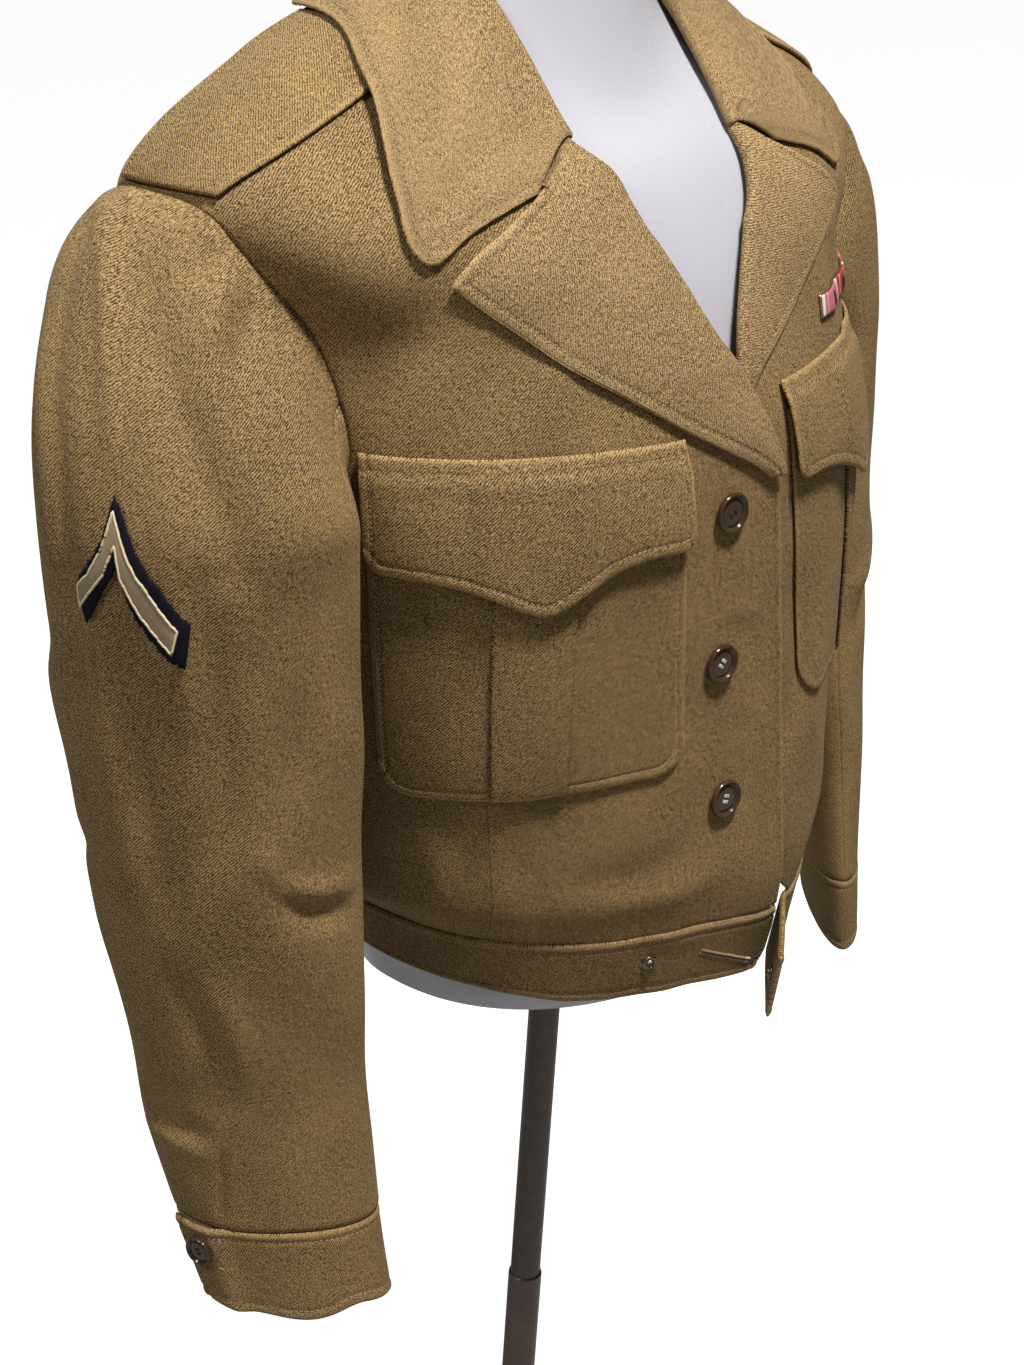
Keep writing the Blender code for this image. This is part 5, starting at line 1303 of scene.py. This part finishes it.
def makeRibbonBar():
    start, end = ribbons["arc"]
    low, high = ribbons["height"]
    rise, inset = ribbons["frame"] + ribbons["step"], ribbons["inset"]
    face, normal, arcs, heights = barLayer((start, end), (low, high), ribbons["frame"], 60, 10)
    barPiece("ribbon_bar", face, face - normal * ribbons["frame"], face, normal, gridGrain(face), gilt,
             ("ribbon_bar",))
    width = (end - start) / ribbons["count"]
    for number in range(ribbons["count"]):
        first, last = start + number * width + inset, start + (number + 1) * width - inset
        face, normal, arcs, heights = barLayer((first, last), (low + 0.5, high - 0.5), rise, 26, 10)
        crown = (np.sin(np.pi * np.linspace(0.04, 0.96, 10)) ** 0.4)[:, None, None]
        top, below = face + normal * ribbons["crown"] * crown, face - normal * (ribbons["step"] - 0.05)
        grain = np.stack([arcs - first, heights, 0 * arcs], -1)
        barPiece("ribbon_%d" % (number + 1), top, below, top, normal, grain, ribbonCloths[number])
        middle, half = (first + last) / 2, ribbons["clasp"] / 2
        face, normal, arcs, heights = barLayer((middle - half, middle + half), (low + 2.2, high - 2.2), rise + 1.5,
                                               9, 12)
        across, upward = (np.sqrt(np.clip(1 - np.linspace(-1, 1, count) ** 2, 0, 1)) for count in (9, 12))
        hump = across[None] * upward[:, None]
        barPiece("ribbon_clasp_%d" % (number + 1), face + normal * (hump - 0.9)[..., None], face - normal * 1.1,
                 face, normal, gridGrain(face), bronze)


makeRibbonBar()
print("chevrons and ribbon bar are made")

# buttons, studs and buttonholes
buttons = {
    "front": [(-1.8, 5.44), (-3.2, 4.17), (-2.4, 2.96)], "radius": 11.5, "hole": 0.95, "apart": 2.5,
    "middle": 0.228, "thread": 0.34,
    "profile": [(0, 0), (0.70, 0), (0.90, 0.05), (0.98, 0.13), (1.0, 0.22), (0.975, 0.30), (0.93, 0.345),
                (0.875, 0.345), (0.82, 0.29), (0.775, 0.20), (0.73, 0.165), (0.68, 0.175), (0.62, 0.215),
                (0.56, 0.228), (0.30, 0.228), (0, 0.228)],
}
studs = {"arc": 55.0, "height": 27.0, "tabColumn": -12,
         "profile": [(0, 0), (4.6, 0), (4.7, 0.35), (4.3, 0.8), (3.6, 0.95), (3.0, 0.8), (2.75, 1.2), (2.7, 2.2),
                     (2.4, 2.7), (1.9, 2.75), (1.6, 2.3), (1.5, 1.1), (0, 1.0)]}


def hornFinish(name):
    material, shader = newMaterial(name, (0.040, 0.019, 0.009), 0.2)
    vector = objectVector(material)
    cloud = noiseNode(material, vector, 130, 4.0, 0.6)
    base = mixNode(material, cloud, (0.022, 0.011, 0.005), (0.080, 0.044, 0.019))
    link(material, base, shader.inputs["Base Color"])
    rough = mathNode(material, "MULTIPLY", noiseNode(material, vector, 900, 3.0), 0.12)
    link(material, mathNode(material, "ADD", rough, 0.10), shader.inputs["Roughness"])
    shader.inputs["Specular IOR Level"].default_value = 0.42
    return material


def plainThread(name, colour):
    material, shader = newMaterial(name, colour, 0.8)
    vector = objectVector(material)
    twist = noiseNode(material, vector, 2600, 2.0)
    link(material, mixNode(material, twist, tuple(c * 0.55 for c in colour), colour), shader.inputs["Base Color"])
    link(material, bumpNode(material, twist, 0.5, 0.0002), shader.inputs["Normal"])
    return material


horn = hornFinish("brown button")
threads = {"thread": plainThread("olive thread", (0.46, 0.33, 0.17)),
           "pale": plainThread("pale thread", (0.70, 0.66, 0.56)),
           # the dark thread also paints shade in the top button's holes, the buttonhole slit and the pin holes
           "dark": plainThread("dark thread and painted shade", (0.030, 0.022, 0.018))}
threadTubes = {name: [] for name in threads}


def framed(placeAt, axis, across=(1, 0, 0)):
    axis = unit(np.asarray(axis, float))
    first = unit(np.cross(np.cross(axis, across), axis))
    second = np.cross(axis, first)
    return np.asarray(placeAt, float), first, second, axis


def turned(name, profile, spot, material, segments=48, nodes=()):
    centre, first, second, axis = spot
    swing = np.linspace(0, 2 * np.pi, segments, endpoint=False)
    circle = first * np.cos(swing)[:, None] + second * np.sin(swing)[:, None]
    points, rings = [], []
    for radius, high in profile:
        if radius == 0:
            rings.append([len(points)] * segments)
            points.append(centre + axis * high)
        else:
            rings.append(list(range(len(points), len(points) + segments)))
            points.extend(centre + axis * high + circle * radius)
    faces = []
    for low, top in zip(rings, rings[1:]):
        for k in range(segments):
            after = (k + 1) % segments
            corners = list(dict.fromkeys([low[k], low[after], top[after], top[k]]))
            if len(corners) > 2:
                faces.append(corners)
    return place(name, meshOf(name, np.array(points), faces), material, nodes)


def drill(piece, spots, axis, radius):
    # holes cut through with small rods
    work = bmesh.new()
    turn = Vector((0, 0, 1)).rotation_difference(Vector([float(v) for v in axis])).to_matrix().to_4x4()
    for spot in spots:
        centre = Vector([float(v) for v in (spot + (0, 0, jacket["hemHeight"])) * mm])
        bmesh.ops.create_cone(work, cap_ends=True, segments=16, radius1=radius * mm, radius2=radius * mm,
                              depth=14 * mm, matrix=Matrix.Translation(centre) @ turn)
    rod = bpy.data.meshes.new("rods")
    work.to_mesh(rod)
    work.free()
    cutter = bpy.data.objects.new("rods", rod)
    bpy.context.scene.collection.objects.link(cutter)
    modifier = piece.modifiers.new("holes", "BOOLEAN")
    modifier.operation, modifier.solver, modifier.object = "DIFFERENCE", "EXACT", cutter
    shown = piece.evaluated_get(bpy.context.evaluated_depsgraph_get())
    mesh = bpy.data.meshes.new_from_object(shown)
    piece.modifiers.clear()
    piece.data = mesh
    mesh.name = piece.name
    mesh.set_sharp_from_angle(angle=math.radians(38))
    bpy.data.objects.remove(cutter, do_unlink=True)


def makeButton(name, spot, radius, thread):
    centre, first, second, axis = spot
    scaled = [(radius * across, radius * high) for across, high in buttons["profile"]]
    piece = turned(name, scaled, spot, horn, 56, (name,))
    reach = buttons["apart"] * radius / buttons["radius"]
    holes = [centre + first * reach * a + second * reach * b for a in (-0.7, 0.7) for b in (-0.7, 0.7)]
    drill(piece, holes, axis, buttons["hole"] * radius / buttons["radius"])
    high = radius * buttons["middle"]
    for a in (-0.7, 0.7):
        for lean in (-0.25, 0.0, 0.25):
            line = np.linspace(-1, 1, 9)[:, None]
            arch = np.sqrt(np.clip(1 - line ** 2, 0, 1)) * 0.55 - 0.35
            points = centre + first * reach * (a + lean) + second * reach * 0.8 * line + axis * (high + arch)
            threadTubes[thread].append((points, buttons["thread"]))


def liftedSpot(points, normals, folds, wave):
    return points + normals * foldLift(points, folds, wave)[..., None]


for number, (angle, level) in enumerate(buttons["front"], 1):
    base = frontPoint(right, angle, level, jacket["wool"] + jacket["gap"])
    axis = unit(frontPoint(right, angle, level, jacket["wool"] + 5) - base)
    base = liftedSpot(base[None], axis[None], foldsOn[right], panels["wave"])[0] + axis * 0.35
    spin = (math.cos(0.4 * number), 0, math.sin(0.4 * number))
    # the first button's dark thread paints the shade in its holes
    makeButton("button_front_%d" % number, framed(base, axis, spin), buttons["radius"],
               "dark" if number == 1 else "pale")

for side, word in ((right, "right"), (left, "left")):
    turn, row = np.array(cuffs["button"])
    base = sleeveRing(side, turn, row, jacket["band"] + 0.4)
    around = sleeveRing(side, turn + 1, row, jacket["band"]) - sleeveRing(side, turn - 1, row, jacket["band"])
    down = sleeveRing(side, turn, row + 0.1, jacket["band"]) - sleeveRing(side, turn, row, jacket["band"])
    axis = side * unit(np.cross(around, down))
    base = base + axis * (0.9 + unevenness(base[None], cuffs["wave"])[0])
    makeButton("button_cuff_" + word, framed(base, axis, (0.3, 0.5, 0.8)),
               buttons["radius"] * cuffs["buttonScale"], "dark")

level = levelAt(studs["height"])
angle = angleAfter(-studs["arc"], level)
base = frontPoint(right, angle, level, jacket["band"] + jacket["gap"] + 0.3)
axis = unit(frontPoint(right, angle, level, jacket["band"] + 5) - base)
base = liftedSpot(base[None], axis[None], bandFolds, waistband["wave"])[0]
turned("snap_stud_right", studs["profile"], framed(base, axis), plated, 40, ("snap_stud_right",))
spot = (bandLeftFace.shape[0] // 2, studs["tabColumn"])
axis = -unit(bandLeftHint[spot])
base = bandLeftFace[spot] + axis * (jacket["band"] + 0.3)
turned("snap_stud_left", studs["profile"], framed(base, axis), plated, 40, ("snap_stud_left",))
print("buttons and studs are made")

# thread: rows of small stitches, and the buttonholes
buttonhole = {"start": (-20.0, 27.0), "end": (24.0, 12.0), "half": 1.5, "count": 46, "paintedGlintTurns": 5,
              "paintedSlitShade": 0.7, "winding": 0.30}


def stitchMeshes():
    for colour in threads:
        points, faces = [], []
        for way, normals, shade in threadRuns:
            if shade != colour:
                continue
            lengths = np.concatenate([[0], np.cumsum(np.linalg.norm(np.diff(way, axis=0), axis=-1))])
            places = np.arange(1.5, lengths[-1] - 1.5, sewing["space"])
            centre = np.stack([np.interp(places, lengths, way[:, k]) for k in range(3)], -1)
            ahead = np.stack([np.interp(places + 0.6, lengths, way[:, k]) for k in range(3)], -1)
            square = unit(np.stack([np.interp(places, lengths, normals[:, k]) for k in range(3)], -1))
            along = unit(ahead - centre)
            across = np.cross(along, square)
            centre = centre - square * (sewing["groove"] - sewing["sunk"])
            for spot in zip(centre, along, square, across):
                addStitch(points, faces, *spot, sewing["stitch"] / 2, sewing["wide"], sewing["high"])
        for way, radius in threadTubes[colour]:
            addTube(points, faces, way, radius)
        if points:
            name = "stitching_" + colour
            place(name, meshOf(name, np.array(points), faces), threads[colour])


def addStitch(points, faces, centre, along, up, across, half, wide, high):
    first = len(points)
    points.append(centre - along * half - up * high)
    for share in (-0.55, 0.55):
        for a, b in ((1, 0), (0, 1), (-1, 0), (0, -1)):
            points.append(centre + along * half * share + across * wide * a + up * high * b)
    points.append(centre + along * half - up * high)
    for k in range(4):
        j = (k + 1) % 4
        faces.append((first, first + 1 + j, first + 1 + k))
        faces.append((first + 1 + k, first + 1 + j, first + 5 + j, first + 5 + k))
        faces.append((first + 9, first + 5 + k, first + 5 + j))


def addTube(points, faces, way, radius, sides=6):
    along = unit(np.gradient(way, axis=0))
    first = unit(np.cross(along, (0.31, 0.52, 0.79)))
    second = np.cross(along, first)
    swing = np.linspace(0, 2 * np.pi, sides, endpoint=False)
    start = len(points)
    for p, a, b in zip(way, first, second):
        points.extend(p + radius * (a * math.cos(s) + b * math.sin(s)) for s in swing)
    for row in range(len(way) - 1):
        for k in range(sides):
            j = (k + 1) % sides
            low = start + row * sides
            faces.append((low + k, low + sides + k, low + sides + j, low + j))
    faces.append(tuple(range(start, start + sides)))
    last = start + (len(way) - 1) * sides
    faces.append(tuple(range(last + sides - 1, last - 1, -1)))


def makeButtonhole():
    # thread wound close along both lips of a slit
    share = np.linspace(0, 1, buttonhole["count"])
    arc, height = (start + (end - start) * share for start, end in zip(buttonhole["start"], buttonhole["end"]))
    level = levelAt(height)
    angle = angleAfter(arc, level)
    base = frontPoint(right, angle, level, jacket["band"])
    normal = unit(frontPoint(right, angle, level, jacket["band"] + 5) - base)
    base = liftedSpot(base, normal, bandFolds, waistband["wave"])
    along = unit(np.gradient(base, axis=0))
    across = unit(np.cross(normal, along))
    # a dark tube along the slit paints the shade in its opening
    threadTubes["dark"].append((base + normal * 0.25, buttonhole["paintedSlitShade"]))
    for sign in (-1, 1):
        for k in range(len(share)):
            line = np.linspace(0.15, 1, 5)[:, None]
            arch = 0.5 * np.sqrt(np.clip(1 - (2 * line - 1.1) ** 2, 0, 1))
            points = base[k] + across[k] * sign * buttonhole["half"] * line * 1.2 + normal[k] * arch
            # the last turns are pale: a painted glint of light through the slit's end
            colour = "pale" if k >= len(share) - buttonhole["paintedGlintTurns"] else "thread"
            threadTubes[colour].append((points, buttonhole["winding"]))


def bits(name, spots, material):
    # small marks on the cloth: spot, its out way, the way it lies, half length, width, height
    points, faces = [], []
    for spot, out, lies, half, wide, high in spots:
        out = unit(np.asarray(out, float))
        along = unit(np.cross(np.cross(out, lies), out))
        addStitch(points, faces, np.asarray(spot), along, out, np.cross(along, out), half, wide, high)
    return place(name, meshOf(name, np.array(points), faces), material)


def onGrid(piece, target):
    # nearest point of a piece to a place, with its out way
    tree = BVHTree.FromPolygons([corner.co for corner in piece.data.vertices],
                                [tuple(face.vertices) for face in piece.data.polygons])
    lifted = Vector([float(v) for v in (np.asarray(target) + (0, 0, jacket["hemHeight"])) * mm])
    spot, normal = tree.find_nearest(lifted)[:2]
    return np.array(spot) / mm - (0, 0, jacket["hemHeight"]), np.array(normal)


def makeMarks():
    lint = []
    for piece, target, way, half, wide in (
            (flaps[right], onFront(right, 93.0, 300.0, 12), (1, 0, 2), 2.0, 0.16),
            (frontRight, onFront(right, 70.0, 200.0, 12), (1, 0, 1), 1.2, 0.16),
            (cuffPieces[right], sleeveRing(right, np.array(12.0), np.array(6.4), 12.0), (1, 0, -0.4), 2.0, 0.18)):
        spot, out = onGrid(piece, target)
        lint.append((spot + out * 0.2, out, way, half, wide, 0.14))
    bits("lint", lint, threads["pale"])
    # dark marks paint the shade inside the collar's pin holes
    pins = []
    for angle, level in ((-47.5, 8.72), (-42.5, 8.56), (-40.6, 8.60), (-44.6, 8.66)):
        spot, out = onGrid(collar, bodyPoint(angle, level, 25.0))
        pins.append((spot, out, (1, 0, 1), 0.55, 0.42, 0.28))
    bits("collar_pin_holes_painted_shade", pins, threads["dark"])


makeMarks()
makeButtonhole()
stitchMeshes()
print("stitching is made")

# dress form and stand
form = {
    "levels": [(0.12, 10.0), (1.0, 9.0), (2.0, 16.0), (3.0, 14.0), (4.0, 10.0), (5.0, 8.0), (6.0, 7.0), (7.0, 5.0),
               (8.0, 3.2), (8.4, 2.4), (8.8, 1.6), (9.1, 1.5), (9.5, 3.0), (9.9, 5.2)],
    "bottom": -3.0, "top": 648.0, "neckHalves": (60.0, 56.0), "neckMiddle": -2.0, "columns": 160, "rows": 150,
    "evenings": 3, "reach": 4,
    "neck": [(590.0, 1.04), (604.0, 1.015), (618.0, 1.0), (632.0, 1.0), (642.0, 1.0), (647.0, 0.975),
             (648.0, 0.92)],
}


def formFinish():
    material, shader = newMaterial("white form", (0.42, 0.415, 0.445), 0.3)
    vector = objectVector(material)
    cloud = noiseNode(material, vector, 9, 3.0)
    link(material, mixNode(material, cloud, (0.40, 0.395, 0.43), (0.44, 0.432, 0.462)), shader.inputs["Base Color"])
    rough = mathNode(material, "MULTIPLY", noiseNode(material, vector, 420, 2.0), 0.1)
    link(material, mathNode(material, "ADD", rough, 0.24), shader.inputs["Roughness"])
    shader.inputs["Coat Weight"].default_value = 0.35
    shader.inputs["Coat Roughness"].default_value = 0.15
    return material


def makeForm():
    angles = (np.linspace(0, 360, form["columns"], endpoint=False) + 180) % 360 - 180
    key = []
    for level, inset in spread(form["levels"], 20):
        ring = bodyPoint(angles, level, -inset)
        if level < 1:
            ring[:, 2] = form["bottom"] + (ring[:, 2] - form["bottom"]) * level * 0.5
        key.append(ring)
    key[0][:, 2] = form["bottom"]
    swing = np.radians(angles)
    for height, share in form["neck"]:
        x = form["neckHalves"][0] * share * np.sin(swing)
        y = form["neckMiddle"] - form["neckHalves"][1] * share * np.cos(swing)
        key.append(np.stack([x, y, np.full(x.shape, height)], -1))
    key = np.array(key)
    columns, rows, reach = form["columns"], form["rows"], form["reach"]
    apart = np.linalg.norm(np.diff(key, axis=0), axis=-1).mean(1)
    reached = np.concatenate([[0], np.cumsum(apart)])
    at = np.linspace(0, reached[-1], rows)
    rings = np.stack([np.interp(at, reached, column) for column in key.reshape(len(key), -1).T], -1)
    hold = np.minimum(1, np.minimum(np.arange(rows), np.arange(rows)[::-1]) / (2 * reach))[:, None]
    for _ in range(form["evenings"]):
        padded = np.concatenate([rings[:1]] * reach + [rings] + [rings[-1:]] * reach)
        evened = sum(padded[k:k + rows] for k in range(2 * reach + 1)) / (2 * reach + 1)
        rings = rings * (1 - hold) + evened * hold
    points = np.concatenate([rings.reshape(-1, 3), [(0, 0, form["bottom"]), (0, form["neckMiddle"], form["top"])]])
    index = np.arange(rows * columns).reshape(rows, columns)
    a, b = index[:-1], np.roll(index[:-1], -1, axis=1)
    c, d = index[1:], np.roll(index[1:], -1, axis=1)
    faces = [tuple(f) for f in np.stack([a, b, d, c], -1).reshape(-1, 4)]
    for k in range(columns):
        j = (k + 1) % columns
        faces.append((rows * columns, int(index[0, j]), int(index[0, k])))
        faces.append((rows * columns + 1, int(index[-1, k]), int(index[-1, j])))
    mesh = meshOf("dress_form", points, faces)
    mesh.set_sharp_from_angle(angle=math.radians(50))
    place("dress_form", mesh, formFinish(), ("dress_form",))


def paintFinish():
    # dark paint over steel, rubbed brown in places
    material, shader = newMaterial("dark metal", (0.10, 0.07, 0.06), 0.4, 0.4)
    vector = objectVector(material)
    cloud = noiseNode(material, vector, 34, 5.0, 0.7)
    fine = noiseNode(material, vector, 420, 3.0)
    base = mixNode(material, cloud, (0.050, 0.034, 0.030), (0.150, 0.098, 0.078))
    link(material, base, shader.inputs["Base Color"])
    rough = mathNode(material, "ADD", mathNode(material, "MULTIPLY", fine, 0.3), 0.25)
    link(material, rough, shader.inputs["Roughness"])
    link(material, bumpNode(material, fine, 0.15, 0.0003), shader.inputs["Normal"])
    return material


makeForm()
paint = paintFinish()
poleMetal = metalFinish("pole metal", (0.115, 0.096, 0.082), 0.36, (0.05, 0.04, 0.033))
for node, material in (("form_flange", poleMetal), ("pole_upper", poleMetal), ("pole_lower", paint),
                       ("base_plate", paint)):
    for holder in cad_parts[node].material_slots:
        holder.material = material
print("dress form and stand are finished")

# camera, light and floor
view = {"azimuth": -40.76, "elevation": 23.65, "roll": -3.03, "place": (-0.8258, -0.9262, 1.3912),
        "focal": 2176.0, "tall": 1365.0, "sensor": 36.0}


def makeCamera():
    azimuth, elevation, roll = (math.radians(view[key]) for key in ("azimuth", "elevation", "roll"))
    back = Vector((math.sin(azimuth) * math.cos(elevation), -math.cos(azimuth) * math.cos(elevation),
                   math.sin(elevation)))
    across = (-back).cross(Vector((0, 0, 1))).normalized()
    up = across.cross(-back)
    turnedAcross = across * math.cos(roll) + up * math.sin(roll)
    turnedUp = -across * math.sin(roll) + up * math.cos(roll)
    data = bpy.data.cameras.new("camera")
    data.sensor_width = view["sensor"]
    data.lens = view["focal"] / view["tall"] * view["sensor"]
    data.clip_start, data.clip_end = 0.05, 200
    camera = bpy.data.objects.new("camera", data)
    bpy.context.scene.collection.objects.link(camera)
    axes = Matrix((turnedAcross, turnedUp, back)).transposed().to_4x4()
    camera.matrix_world = Matrix.Translation(Vector(view["place"])) @ axes
    bpy.context.scene.camera = camera


lights = {
    "overhead": {"place": (0.0, -1.1, 3.2), "aim": (0, -0.1, 1.1), "size": 0.45, "power": 100},
    "leftOverhead": {"place": (-1.9, 0.2, 2.9), "aim": (0, 0, 1.1), "size": 0.8, "power": 26},
    "front": {"place": (-1.2, -2.8, 1.9), "aim": (0, 0, 1.1), "size": 1.4, "power": 4},
    "behind": {"place": (0.6, 2.6, 2.7), "aim": (0, 0, 1.1), "size": 1.2, "power": 26},
}
stage = {"radius": 60, "corners": 96, "glow": 0.93, "fill": 0.075}


def makeLights():
    for name, facts in lights.items():
        data = bpy.data.lights.new(name, "AREA")
        data.shape, data.size, data.energy = "DISK", facts["size"], facts["power"]
        lamp = bpy.data.objects.new(name, data)
        lamp.location = facts["place"]
        aim = Vector(facts["aim"]) - Vector(facts["place"])
        lamp.rotation_euler = aim.to_track_quat("-Z", "Y").to_euler()
        bpy.context.scene.collection.objects.link(lamp)
    world = bpy.data.worlds.new("studio")
    world.use_nodes = True
    backdrop = world.node_tree.nodes["Background"]
    backdrop.inputs["Color"].default_value = (1, 1, 1, 1)
    rays = world.node_tree.nodes.new("ShaderNodeLightPath")
    level = world.node_tree.nodes.new("ShaderNodeMapRange")
    level.inputs["To Min"].default_value, level.inputs["To Max"].default_value = stage["fill"], 1.0
    world.node_tree.links.new(rays.outputs["Is Camera Ray"], level.inputs["Value"])
    world.node_tree.links.new(level.outputs["Result"], backdrop.inputs["Strength"])
    bpy.context.scene.world = world
    bpy.context.scene.view_settings.view_transform = "Standard"


def makeFloor():
    material, shader = newMaterial("pale floor", (0.92, 0.92, 0.92), 0.9)
    vector = objectVector(material)
    cloud = noiseNode(material, vector, 0.8, 2.0)
    link(material, mixNode(material, cloud, (0.46, 0.46, 0.46), (0.48, 0.48, 0.48)), shader.inputs["Base Color"])
    rays = material.node_tree.nodes.new("ShaderNodeLightPath")
    glow = mathNode(material, "MULTIPLY", rays.outputs["Is Camera Ray"], stage["glow"])
    shader.inputs["Emission Color"].default_value = (1, 1, 1, 1)
    link(material, glow, shader.inputs["Emission Strength"])
    mesh = bpy.data.meshes.new("floor")
    turns = np.linspace(0, 2 * np.pi, stage["corners"], endpoint=False)
    rim = stage["radius"] * np.stack([np.cos(turns), np.sin(turns), 0 * turns], -1)
    mesh.from_pydata(rim.tolist(), [], [tuple(range(stage["corners"]))])
    mesh.materials.append(material)
    floor = bpy.data.objects.new("floor", mesh)
    bpy.context.scene.collection.objects.link(floor)


makeCamera()
makeLights()
makeFloor()
